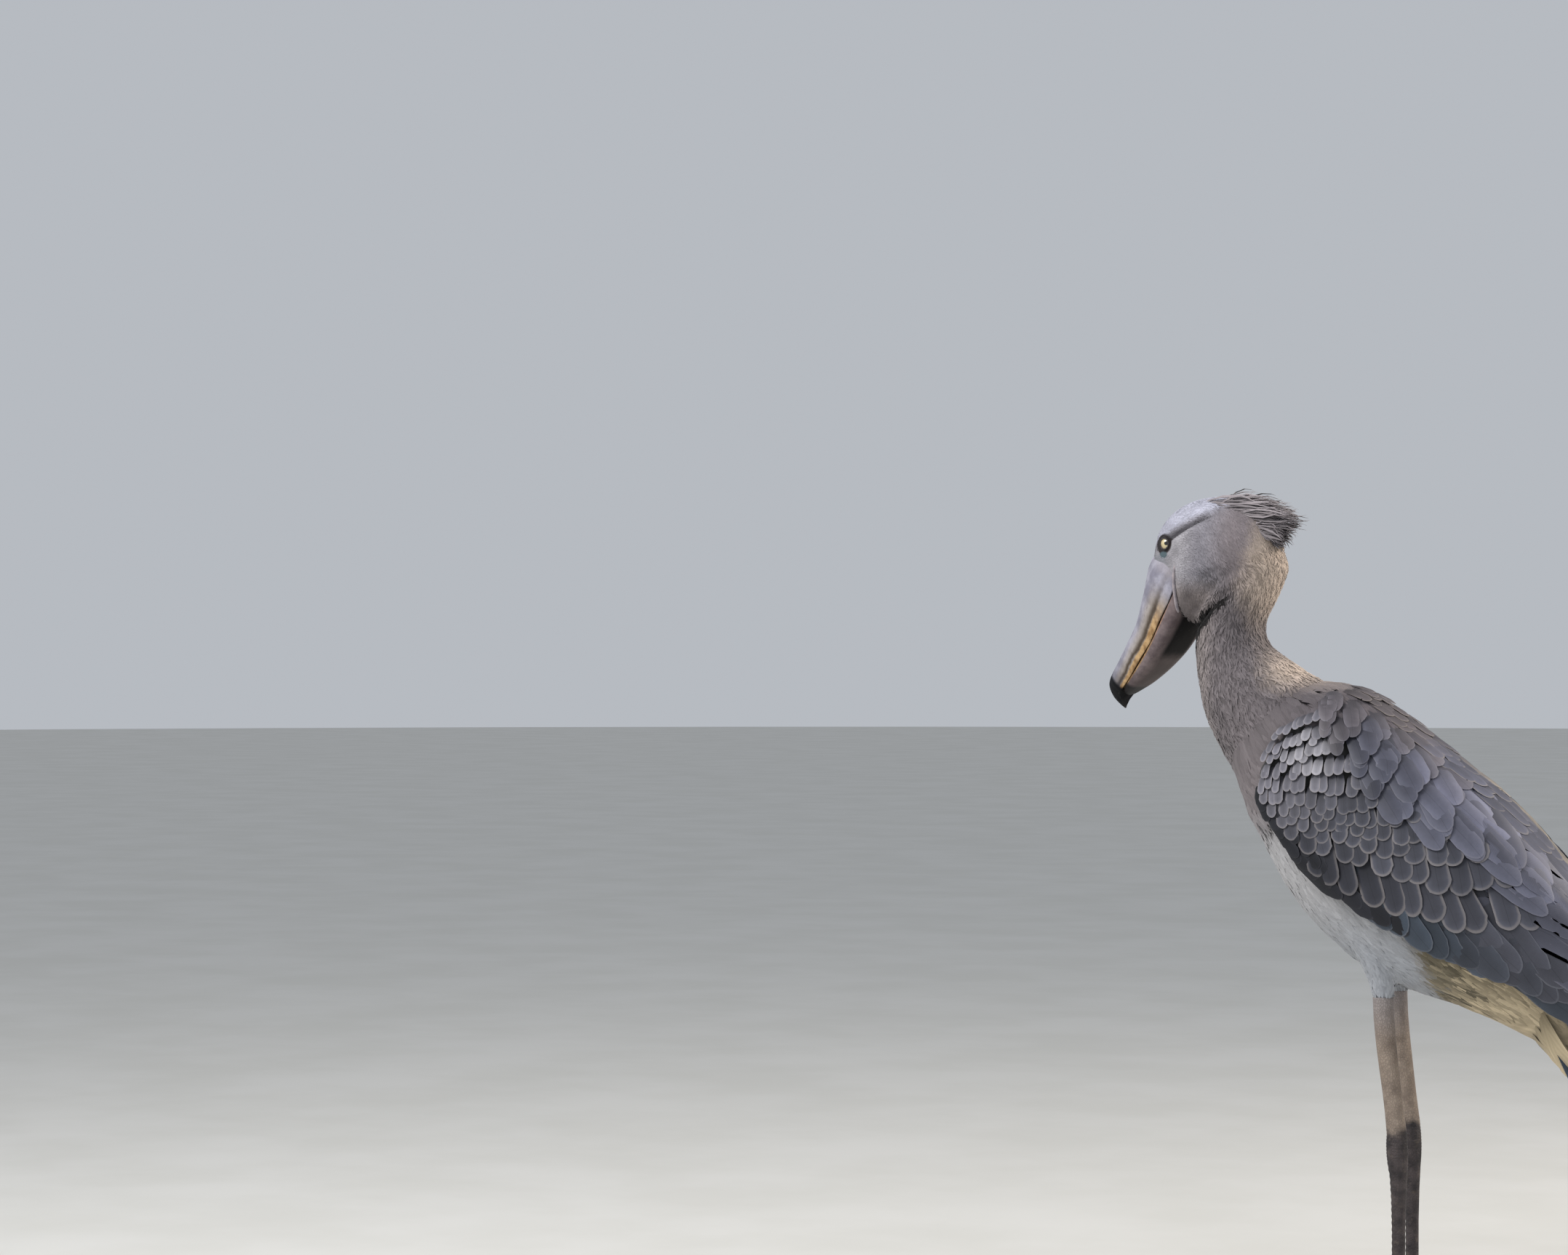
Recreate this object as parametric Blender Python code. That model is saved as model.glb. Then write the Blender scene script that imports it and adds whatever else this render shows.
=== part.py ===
"""A shoebill standing on both legs, head bowed, life size: one named solid for each part of the bird.

Units are metres and +Z is up. The bird looks along -X, so its tail is towards +X and its left side
towards -Y, and it stands on Z = 0. The origin is the middle of the bird's bounding box, at floor level.
The numbers below are in a working frame whose origin is between the feet, and the last step moves it.
"""

import math
import random

import bmesh
import bpy
import numpy as np
from mathutils import Matrix, Vector

# ---------------------------------------------------------------- driving dimensions (metres, degrees)
GAP = 0.0003  # kept between nodes that meet
SEED = 7
WELD = 0.000004  # points closer than this are one
OVAL = 2.2  # how square the trunk's section is: 2 is an ellipse

BODY_PITCH = math.radians(37.0)  # the trunk slopes down towards the tail
# Trunk sections: place along the sloping trunk axis, back, belly and half width across it.
TRUNK_STATIONS = (
    (-0.612, 0.572, 0.438, 0.066),
    (-0.585, 0.606, 0.419, 0.087),
    (-0.540, 0.627, 0.396, 0.101),
    (-0.460, 0.637, 0.361, 0.114),
    (-0.380, 0.632, 0.346, 0.118),
    (-0.300, 0.620, 0.352, 0.112),
    (-0.220, 0.603, 0.376, 0.096),
    (-0.150, 0.585, 0.398, 0.074),
    (-0.090, 0.552, 0.412, 0.050),
)
# Neck sections: centre X and Z, rise of the neck there, half depth and half width.
NECK_STATIONS = (
    (-0.1190, 0.722, 36.0, 0.094, 0.091),
    (-0.1620, 0.768, 39.0, 0.0870, 0.0860),
    (-0.2100, 0.824, 50.0, 0.0715, 0.0740),
    (-0.2300, 0.855, 57.0, 0.0580, 0.0615),
    (-0.2385, 0.884, 66.0, 0.0515, 0.0545),
    (-0.2375, 0.918, 80.0, 0.0505, 0.0520),
    (-0.2270, 0.958, 96.0, 0.0550, 0.0520),
    (-0.2150, 0.995, 100.0, 0.0540, 0.0500),
    (-0.2150, 1.025, 100.0, 0.0400, 0.0380),
)
NECK_CUT = (Vector((-0.192, 0.0, 0.806)), math.radians(46.0))  # where neck and torso part
HEAD_CUT = (Vector((-0.214, 0.0, 0.985)), math.radians(49.0))  # where head and neck part

HEAD_PLACE = Vector((-0.3200, 0.010, 1.0198))  # midway between the eyes
HEAD_YAW = math.radians(10.0)  # turned to the bird's right
BILL_PITCH = math.radians(56.0)  # bill axis below the horizon
# Skull sections: level distance forward of the eyes, top, bottom and half width.
HEAD_STATIONS = (
    (0.031, 0.006, -0.026, 0.017),
    (0.026, 0.021, -0.050, 0.025),
    (0.012, 0.040, -0.074, 0.0330),
    (-0.006, 0.053, -0.090, 0.0400),
    (-0.030, 0.0625, -0.095, 0.0455),
    (-0.060, 0.067, -0.085, 0.0500),
    (-0.090, 0.065, -0.072, 0.051),
    (-0.118, 0.058, -0.056, 0.047),
    (-0.140, 0.044, -0.040, 0.037),
    (-0.153, 0.024, -0.018, 0.021),
)

EYE_RADIUS = 0.0112
EYE_PLACE = (-0.0056, 0.0288, -0.0020)  # forward along the bill, left, up out of the crown
EYE_FACING = math.radians(73.0)  # from straight ahead
ORBIT = (0.0090, 0.0160, 0.0135)  # the hollow round the eye: half depth, length and height
LID_THICKNESS = 0.0015

# Upper bill sections: distance along the bill, culmen, cutting edge and half width.
BILL_UPPER = (
    (0.018, 0.0200, -0.0440, 0.0390),
    (0.040, 0.0240, -0.0500, 0.0440),
    (0.075, 0.0095, -0.0550, 0.0460),
    (0.115, -0.0040, -0.0570, 0.0440),
    (0.150, -0.0065, -0.0535, 0.0380),
    (0.180, -0.0065, -0.0475, 0.0296),
    (0.204, -0.0060, -0.0415, 0.0205),
    (0.2185, -0.0095, -0.0425, 0.0125),
    (0.2265, -0.0205, -0.0455, 0.0060),
)
# Lower bill sections: distance along the bill, underside and half width.
BILL_LOWER = (
    (0.012, -0.0660, 0.0350),
    (0.040, -0.0730, 0.0405),
    (0.080, -0.0770, 0.0430),
    (0.115, -0.0760, 0.0410),
    (0.150, -0.0695, 0.0345),
    (0.180, -0.0600, 0.0268),
    (0.200, -0.0510, 0.0182),
    (0.2085, -0.0470, 0.0115),
)
NOSTRIL = (0.060, 0.0150, 0.0016)  # forward, out from the ridge, half width of the slit

# Wing surface sections: place along the trunk axis, middle, half depth and half width across it.
WING_STATIONS = (
    (-0.575, 0.518, 0.098, 0.101),
    (-0.530, 0.508, 0.124, 0.117),
    (-0.460, 0.498, 0.138, 0.128),
    (-0.380, 0.491, 0.145, 0.133),
    (-0.300, 0.490, 0.145, 0.132),
    (-0.220, 0.493, 0.130, 0.123),
    (-0.140, 0.502, 0.105, 0.103),
    (-0.060, 0.509, 0.077, 0.079),
    (0.010, 0.513, 0.055, 0.056),
    (0.080, 0.513, 0.034, 0.037),
)
# Where the wing's lower edge lies across the trunk axis.
WING_EDGE = (
    (-0.575, 0.492),
    (-0.550, 0.466),
    (-0.510, 0.450),
    (-0.460, 0.441),
    (-0.410, 0.432),
    (-0.358, 0.431),
    (-0.308, 0.437),
    (-0.258, 0.447),
    (-0.200, 0.461),
    (-0.144, 0.473),
    (-0.100, 0.488),
    (-0.047, 0.503),
    (0.062, 0.509),
)
WING_CORE_FROM = -0.566
WING_CORE_TO = -0.070

# Rows of wing feathers, lowest first: name, how many, first and last tip (along, across), length,
# width, how much steeper than the trunk axis they point, height over the wing, and its change from
# each feather to the next.
WING_ROWS = (
    ("primaries", 4, (-0.005, 0.499), (0.070, 0.513), 0.200, 0.032, 3.0, -0.0002, -0.0015),
    ("secondaries", 6, (-0.235, 0.449), (-0.030, 0.510), 0.150, 0.038, 20.0, 0.0016, 0.0),
    ("primary_coverts", 2, (-0.380, 0.446), (-0.290, 0.450), 0.100, 0.028, 3.0, 0.0022, 0.0),
    ("greater_coverts", 6, (-0.395, 0.459), (-0.135, 0.552), 0.088, 0.049, 34.0, 0.0038, 0.0),
    ("median_coverts", 6, (-0.460, 0.467), (-0.205, 0.577), 0.064, 0.047, 36.0, 0.0052, 0.0),
    ("lesser_coverts", 5, (-0.513, 0.475), (-0.325, 0.578), 0.052, 0.044, 38.0, 0.0062, 0.0),
    ("tertials", 3, (0.014, 0.530), (-0.048, 0.580), 0.200, 0.054, 2.0, 0.0022, 0.0024),
    ("long_scapulars", 3, (-0.122, 0.574), (-0.150, 0.604), 0.170, 0.052, 3.0, 0.0044, 0.0022),
    ("scapulars", 3, (-0.255, 0.574), (-0.270, 0.622), 0.150, 0.054, 5.0, 0.0064, 0.0022),
    ("short_scapulars", 3, (-0.360, 0.572), (-0.355, 0.628), 0.125, 0.052, 8.0, 0.0080, 0.0018),
)
ROOT_DEPTH = 0.0042  # how far under the wing's surface a feather's root is sunk
WING_CORE_DEPTH = 0.0030  # how far the core lies under the wing's surface
VANE_THICKNESS = 0.0011
VANE_STEPS = 4

TAIL_FEATHERS = 12
TAIL_ROOT = (-0.075, 0.462)
TAIL_TIP = (0.086, 0.414)
TAIL_HALF_FAN = 0.052
TAIL_WIDTH = 0.038
# Root of the tail: place along the trunk axis, top, bottom and half width across it.
TAIL_STATIONS = (
    (-0.0897, 0.550, 0.414, 0.049),
    (-0.066, 0.528, 0.414, 0.045),
    (-0.040, 0.500, 0.415, 0.038),
    (-0.015, 0.472, 0.416, 0.029),
    (0.008, 0.450, 0.418, 0.019),
    (0.026, 0.437, 0.421, 0.009),
)

CREST_FEATHERS = 9
CREST_HALF_WIDTH = 0.0095

# Legs: X and Y of each foot, left first.
LEG_PLACES = ((0.0185, -0.050), (-0.003, 0.050))
# Leg sections: height, half length, half width, shift forward of the foot, shift outward.
THIGH_STATIONS = (
    (0.548, 0.0500, 0.0400, 0.0385, 0.012),
    (0.518, 0.0420, 0.0365, 0.0355, 0.009),
    (0.491, 0.0310, 0.0290, 0.0290, 0.005),
    (0.466, 0.0215, 0.0205, 0.0235, 0.002),
    (0.449, 0.0170, 0.0162, 0.0215, 0.000),
    (0.436, 0.0148, 0.0141, 0.0210, 0.000),
)
SHANK_STATIONS = (
    (0.436, 0.0138, 0.0131, 0.0210, 0.000),
    (0.395, 0.0136, 0.0126, 0.0190, 0.000),
    (0.345, 0.0132, 0.0120, 0.0130, 0.000),
    (0.300, 0.0126, 0.0114, 0.0070, 0.000),
    (0.262, 0.0134, 0.0122, 0.0025, 0.000),
)
TARSUS_STATIONS = (
    (0.262, 0.0134, 0.0122, 0.0025, 0.000),
    (0.242, 0.0148, 0.0134, 0.0020, 0.000),
    (0.222, 0.0138, 0.0124, 0.0010, 0.000),
    (0.200, 0.0112, 0.0102, 0.0000, 0.000),
    (0.150, 0.0092, 0.0086, 0.0000, 0.000),
    (0.080, 0.0090, 0.0086, 0.0000, 0.000),
    (0.045, 0.0105, 0.0105, -0.001, 0.000),
    (0.026, 0.0145, 0.0150, -0.003, 0.000),
)
FOOT_BALL = (0.0230, 0.0220, 0.0155)
FOOT_BALL_HEIGHT = 0.0135
# Toes: name, angle from straight ahead towards the midline, length, half width at the root.
TOES = (
    ("inner", 31.0, 0.126, 0.0066),
    ("middle", 0.0, 0.160, 0.0070),
    ("outer", -33.0, 0.138, 0.0066),
    ("hind", 172.0, 0.066, 0.0064),
)
CLAW_LENGTH = 0.026
FOOT_SPLAY = 15.0  # degrees outward

COLOURS = {
    "slate": (0.105, 0.112, 0.142, 1.0),
    "lavender": (0.300, 0.290, 0.340, 1.0),
    "neck": (0.215, 0.195, 0.190, 1.0),
    "belly": (0.420, 0.400, 0.370, 1.0),
    "horn": (0.330, 0.275, 0.260, 1.0),
    "mandible": (0.300, 0.215, 0.150, 1.0),
    "iris": (0.560, 0.500, 0.260, 1.0),
    "shank": (0.190, 0.150, 0.120, 1.0),
    "tarsus": (0.055, 0.048, 0.050, 1.0),
    "claw": (0.030, 0.028, 0.030, 1.0),
}


# ---------------------------------------------------------------- frames
LEVEL = Vector((-math.cos(HEAD_YAW), math.sin(HEAD_YAW), 0.0))
RISE = Vector((0.0, 0.0, 1.0))
SIDE = Vector((0.0, 1.0, 0.0))
HEAD_LEFT = RISE.cross(LEVEL)
BILL_FORWARD = LEVEL * math.cos(BILL_PITCH) - RISE * math.sin(BILL_PITCH)
BILL_UP = LEVEL * math.sin(BILL_PITCH) + RISE * math.cos(BILL_PITCH)
TRUNK_UP = Vector((math.sin(BODY_PITCH), 0.0, math.cos(BODY_PITCH)))


def in_head(forward, left, up):
    """A point given along the bill, to the left and out of the crown, in the bird's frame."""
    return HEAD_PLACE + BILL_FORWARD * forward + HEAD_LEFT * left + BILL_UP * up


def on_trunk(along, y, across):
    """A point given along and across the sloping trunk axis."""
    c, s = math.cos(BODY_PITCH), math.sin(BODY_PITCH)
    return Vector((along * c + across * s, y, -along * s + across * c))


def frame(place, forward, up):
    """A matrix with X forward and Z up, as near as it can be, at a place."""
    x = forward.normalized()
    y = up.cross(x).normalized()
    z = x.cross(y)
    return Matrix.Translation(place) @ Matrix((x, y, z)).transposed().to_4x4()


# ---------------------------------------------------------------- mesh helpers
def new_group(name):
    """A collection of the scene."""
    group = bpy.data.collections.new(name)
    bpy.context.scene.collection.children.link(group)
    return group


def new_object(name, mesh, collection):
    """An object for a mesh, linked to a collection."""
    made = bpy.data.objects.new(name, mesh)
    collection.objects.link(made)
    return made


def from_bmesh(name, form, collection):
    """An object for a bmesh, which is freed."""
    bmesh.ops.recalc_face_normals(form, faces=form.faces)
    mesh = bpy.data.meshes.new(name)
    form.to_mesh(mesh)
    form.free()
    return new_object(name, mesh, collection)


def loft(name, rings, collection):
    """A closed body through rings that have the same number of points."""
    form = bmesh.new()
    rows = [[form.verts.new(p) for p in ring] for ring in rings]
    count = len(rings[0])
    for a, b in zip(rows, rows[1:]):
        for k in range(count):
            form.faces.new((a[k], a[(k + 1) % count], b[(k + 1) % count], b[k]))
    form.faces.new(rows[0])
    form.faces.new(rows[-1])
    return from_bmesh(name, form, collection)


def section(centre, up, side, depth, half_width, count, power=OVAL):
    """A ring of points round centre, from an oval."""
    ring = []
    for k in range(count):
        turn = 2 * math.pi * k / count
        c, s = math.cos(turn), math.sin(turn)
        rise = math.copysign(abs(c) ** (2 / power), c) * depth
        out = math.copysign(abs(s) ** (2 / power), s) * half_width
        ring.append(centre + up * rise + side * out)
    return ring


def smooth_rows(rows, count):
    """Rows of numbers read from a smooth curve through the given rows, evenly between them."""
    rows = np.array(rows, float)
    slopes = np.gradient(rows, axis=0)
    made = []
    for t in np.linspace(0, len(rows) - 1, count):
        i = min(int(t), len(rows) - 2)
        u = t - i
        a, b = 2 * u**3 - 3 * u**2 + 1, u**3 - 2 * u**2 + u
        c, d = -2 * u**3 + 3 * u**2, u**3 - u**2
        made.append(a * rows[i] + b * slopes[i] + c * rows[i + 1] + d * slopes[i + 1])
    return made


def ellipsoid(name, matrix, radii, collection, rings=12):
    """A sphere stretched to three radii."""
    form = bmesh.new()
    stretch = Matrix.Diagonal((*radii, 1.0))
    bmesh.ops.create_uvsphere(
        form, u_segments=2 * rings, v_segments=rings, radius=1.0, matrix=matrix @ stretch
    )
    return from_bmesh(name, form, collection)


def block(name, matrix, size, collection):
    """A box of a given size."""
    form = bmesh.new()
    bmesh.ops.create_cube(form, size=1.0, matrix=matrix @ Matrix.Diagonal((*size, 1.0)))
    return from_bmesh(name, form, collection)


def copied(source, name, collection):
    """A second object with its own copy of a mesh."""
    return new_object(name, source.data.copy(), collection)


def removed(*objects):
    """Objects that have done their work are taken away."""
    for gone in objects:
        bpy.data.objects.remove(gone, do_unlink=True)


def evaluated(piece):
    """A piece's modifiers are applied to its mesh."""
    bpy.context.view_layer.update()
    shown = piece.evaluated_get(bpy.context.evaluated_depsgraph_get())
    mesh = bpy.data.meshes.new_from_object(shown)
    piece.modifiers.clear()
    piece.data = mesh
    return piece


def cut(piece, cutter, operation="DIFFERENCE", solver="MANIFOLD"):
    """A Boolean with one other object, applied."""
    modifier = piece.modifiers.new("cut", "BOOLEAN")
    modifier.operation = operation
    modifier.solver = solver
    modifier.object = cutter
    return evaluated(piece)


def fused(piece, parts):
    """A Boolean union with all of a collection's objects, which are then removed."""
    modifier = piece.modifiers.new("fuse", "BOOLEAN")
    modifier.operation = "UNION"
    modifier.solver = "MANIFOLD"
    modifier.operand_type = "COLLECTION"
    modifier.collection = parts
    evaluated(piece)
    removed(*list(parts.objects))
    bpy.data.collections.remove(parts)
    return piece


def whole(piece):
    """Only the largest closed surface of a piece is kept."""
    form = bmesh.new()
    form.from_mesh(piece.data)
    left = set(form.verts)
    islands = []
    while left:
        stack = [left.pop()]
        island = set(stack)
        while stack:
            vertex = stack.pop()
            for edge in vertex.link_edges:
                other = edge.other_vert(vertex)
                if other not in island:
                    island.add(other)
                    left.discard(other)
                    stack.append(other)
        islands.append(island)

    def reach(island):
        spread = [max(v.co[k] for v in island) - min(v.co[k] for v in island) for k in range(3)]
        return spread[0] * spread[1] * spread[2]

    islands.sort(key=reach)
    for island in islands[:-1]:
        bmesh.ops.delete(form, geom=list(island), context="VERTS")
    form.to_mesh(piece.data)
    form.free()
    return piece


def lightened(piece, angle=1.2):
    """Scraps of one flat facet, left by a union, become one facet again."""
    form = bmesh.new()
    form.from_mesh(piece.data)
    bmesh.ops.remove_doubles(form, verts=form.verts, dist=WELD)
    bmesh.ops.dissolve_limit(
        form, angle_limit=math.radians(angle), verts=form.verts, edges=form.edges
    )
    bmesh.ops.triangulate(form, faces=form.faces, quad_method="BEAUTY", ngon_method="BEAUTY")
    form.to_mesh(piece.data)
    form.free()
    return piece


def half_space(name, place, tilt, ahead, collection):
    """A large box on one side of a plane across the neck, which reaches GAP / 2 over it."""
    axis = Vector((-math.cos(tilt), 0.0, math.sin(tilt)))
    up = Vector((math.sin(tilt), 0.0, math.cos(tilt)))
    size = 2.0
    shift = (size / 2 - GAP / 2) * (1 if ahead else -1)
    return block(name, frame(place + axis * shift, axis, up), (size, size, size), collection)


def finished(piece, colour, roughness=0.7, smooth=60.0):
    """A node's own material and smooth shading."""
    material = bpy.data.materials.new(piece.name + "_finish")
    material.use_nodes = True
    shader = material.node_tree.nodes["Principled BSDF"]
    shader.inputs["Base Color"].default_value = COLOURS[colour]
    shader.inputs["Roughness"].default_value = roughness
    shader.inputs["Metallic"].default_value = 0.0
    piece.data.materials.clear()
    piece.data.materials.append(material)
    piece.data.shade_smooth()
    piece.data.set_sharp_from_angle(angle=math.radians(smooth))
    return piece


# ---------------------------------------------------------------- trunk, neck and head
def trunk(name, collection, grow=0.0):
    """The trunk without wings or tail, or the same a little larger all round."""
    rings = []
    rows = smooth_rows(TRUNK_STATIONS, 17)
    for k, (along, back, belly, half) in enumerate(rows):
        along += grow * ((k == len(rows) - 1) - (k == 0))
        centre = on_trunk(along, 0.0, (back + belly) / 2)
        rings.append(section(centre, TRUNK_UP, SIDE, (back - belly) / 2 + grow, half + grow, 24))
    return loft(name, rings, collection)


def neck(name, collection):
    """The neck, from inside the chest to inside the head."""
    rings = []
    for x, z, rise, depth, half in smooth_rows(NECK_STATIONS, 17):
        tilt = math.radians(rise)
        up = Vector((math.sin(tilt), 0.0, math.cos(tilt)))
        rings.append(section(Vector((x, 0.0, z)), up, SIDE, depth, half, 22, 2.0))
    return loft(name, rings, collection)


def skull(name, collection):
    """Crown, cheeks and nape, with no bill, eyes or crest."""
    rings = []
    for ahead, top, bottom, half in smooth_rows(HEAD_STATIONS, 15):
        centre = HEAD_PLACE + LEVEL * ahead + RISE * (top + bottom) / 2
        rings.append(section(centre, RISE, HEAD_LEFT, (top - bottom) / 2, half, 24, 2.15))
    return loft(name, rings, collection)


# ---------------------------------------------------------------- bill
# The upper bill's outline at one section: share of the half width and share of the height.
RIDGE = (
    (0.0, 1.0),
    (0.13, 0.989),
    (0.20, 0.948),
    (0.28, 0.905),
    (0.42, 0.878),
    (0.62, 0.768),
    (0.82, 0.590),
    (0.95, 0.410),
    (1.0, 0.240),
    (0.955, 0.0),
)
PALATE = ((0.86, 0.0030), (0.55, 0.0050), (0.25, 0.0055), (0.0, 0.0055))


def palate_at(rows, forward):
    """Cutting edge and half width of the upper bill at a distance along it."""
    rows = np.array(rows)
    return np.interp(forward, rows[:, 0], rows[:, 2]), np.interp(forward, rows[:, 0], rows[:, 3])


def upper_bill(name, collection, grow=0.0):
    """Culmen ridge with a groove on each side, broad vault, and a hooked nail."""
    rings = []
    rows = smooth_rows(BILL_UPPER, 14)
    for k, (forward, culmen, edge, half) in enumerate(rows):
        forward += grow * ((k == len(rows) - 1) - (k == 0))
        half += grow
        top = [(w * half, edge + (culmen - edge) * h + grow) for w, h in RIDGE[:-1]]
        side = [(RIDGE[-1][0] * half, edge - grow)]
        under = [(w * half, edge + rise * half / 0.045 - grow) for w, rise in PALATE]
        right = top + side + under
        left = [(-a, b) for a, b in reversed(right[1:-1])]
        rings.append([in_head(forward, a, b) for a, b in right + left])
    return loft(name, rings, collection)


def lower_bill(name, collection, grow=0.0):
    """The lower bill, whose upper face follows the palate, GAP * 2 under it."""
    rings = []
    rows = smooth_rows(BILL_LOWER, 13)
    for k, (forward, floor, half) in enumerate(rows):
        edge, over = palate_at(smooth_rows(BILL_UPPER, 60), forward)
        forward += grow * ((k == len(rows) - 1) - (k == 0))
        half = min(half, over * 0.925) + grow
        top = edge - 2 * GAP + grow
        upper = [(0.0, 0.0045), (0.25, 0.0045), (0.55, 0.0040), (0.86, 0.0016)]
        inner = [(w * half, top + rise * half / 0.045) for w, rise in upper]
        rim = [(half, top - 0.0005)]
        depth = top - floor + grow
        under = [(half * w, top - depth * d) for w, d in ((0.97, 0.38), (0.86, 0.72), (0.55, 0.94))]
        keel = [(0.0, top - depth)]
        right = inner + rim + under + keel
        left = [(-a, b) for a, b in reversed(right[1:-1])]
        rings.append([in_head(forward, a, b) for a, b in right + left])
    return loft(name, rings, collection)


def nostril_slit(name, side, collection):
    """The slit beside the culmen ridge where a nostril opens."""
    forward, out, half = NOSTRIL
    matrix = frame(in_head(forward, side * out, 0.0225), BILL_FORWARD - BILL_UP * 0.22, BILL_UP)
    return ellipsoid(name, matrix, (0.0095, half, 0.0045), collection, 8)


# ---------------------------------------------------------------- eyes and lids
def eye_frame(side):
    """Looking out of the eye along X."""
    out = BILL_FORWARD * 0.10 + LEVEL * math.cos(EYE_FACING) + HEAD_LEFT * side * math.sin(EYE_FACING)
    forward, left, up = EYE_PLACE
    return frame(in_head(forward, side * left, up), out, RISE)


def lid(name, side, upper, collection):
    """A thick rim that follows the eyeball from corner to corner."""
    around = eye_frame(side)
    radius = EYE_RADIUS + LID_THICKNESS * 0.35
    rings = []
    steps = 7
    for k in range(steps):
        share = k / (steps - 1)
        turn = math.radians(-96 + 192 * share)
        open_by = math.radians(40.0 if upper else 46.0)
        axis = Vector((math.cos(open_by), 0.0, math.sin(open_by) * (1 if upper else -1)))
        sweep = Vector((0.0, math.sin(turn), 0.0)) + axis * math.cos(turn)
        sweep.x = max(sweep.x, 0.10)
        sweep.normalize()
        thick = LID_THICKNESS * (0.55 + 0.75 * math.sin(math.pi * share))
        centre = sweep * radius
        tangent = Vector((-sweep.y, sweep.x, 0.0)).normalized()
        normal = sweep.cross(tangent).normalized()
        ring = []
        for j in range(5):
            bend = 2 * math.pi * j / 5
            ring.append(around @ (centre + (sweep * math.cos(bend) + normal * math.sin(bend)) * thick))
        rings.append(ring)
    return loft(name, rings, collection)


# ---------------------------------------------------------------- feather vanes
def vane(name, path, normals, half_width, collection, thickness=VANE_THICKNESS, roll=0.0, sag=0.0):
    """A thin tapered feather along a path, with a narrow root and a round tip."""
    shares = np.linspace(0.0, 1.0, len(path))
    profile = np.interp(shares, (0.0, 0.20, 0.60, 0.85, 1.0), (0.55, 0.90, 1.0, 0.86, 0.34))
    form = bmesh.new()
    rows = []
    for k, (point, normal) in enumerate(zip(path, normals)):
        ahead = path[min(k + 1, len(path) - 1)] - path[max(k - 1, 0)]
        across = normal.cross(ahead).normalized()
        wide = half_width * profile[k]
        thick = normal * thickness * (0.5 - 0.22 * shares[k])
        centre = point - normal * sag * wide * wide
        low = centre - across * wide - normal * roll * wide
        high = centre + across * wide + normal * roll * wide
        rows.append([form.verts.new(p) for p in (low + thick, high + thick, high - thick, low - thick)])
    for a, b in zip(rows, rows[1:]):
        for j in range(4):
            n = (j + 1) % 4
            if j in (0, 1):
                form.faces.new((a[j], a[n], b[n]))
                form.faces.new((a[j], b[n], b[j]))
            else:
                form.faces.new((a[j], a[n], b[j]))
                form.faces.new((a[n], b[n], b[j]))
    form.faces.new(rows[0])
    form.faces.new(rows[-1])
    return from_bmesh(name, form, collection)


# ---------------------------------------------------------------- wings
def wing_oval(along):
    """Middle, half depth and half width of the wing's surface."""
    rows = np.array(WING_ROWS_SMOOTH)
    return [float(np.interp(along, rows[:, 0], rows[:, k])) for k in (1, 2, 3)]


WING_ROWS_SMOOTH = smooth_rows(WING_STATIONS, 60)


def edge_at(along):
    """The wing's lower edge across the trunk axis."""
    rows = np.array(WING_EDGE)
    return float(np.interp(along, rows[:, 0], rows[:, 1]))


def turn_at(along, across):
    """The turn round the wing's oval, from the midline of the back, that lies at a height."""
    middle, depth, _ = wing_oval(along)
    share = max(-0.999, min(0.999, (across - middle) / depth))
    return math.acos(math.copysign(abs(share) ** (OVAL / 2), share))


def on_wing(along, turn, lift=0.0):
    """A point of the left wing's surface, lifted off it, with the way out of it."""

    def place(a, t):
        middle, depth, half = wing_oval(a)
        c, s = math.cos(t), math.sin(t)
        rise = math.copysign(abs(c) ** (2 / OVAL), c) * depth
        return on_trunk(a, -(abs(s) ** (2 / OVAL)) * half, middle + rise)

    here = place(along, turn)
    normal = (place(along + 0.004, turn) - place(along - 0.004, turn)).cross(
        place(along, turn + 0.03) - place(along, turn - 0.03)
    )
    normal.normalize()
    outward = here - on_trunk(along, 0.0, wing_oval(along)[0])
    if normal.dot(outward) < 0:
        normal.negate()
    return here + normal * lift, normal


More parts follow.
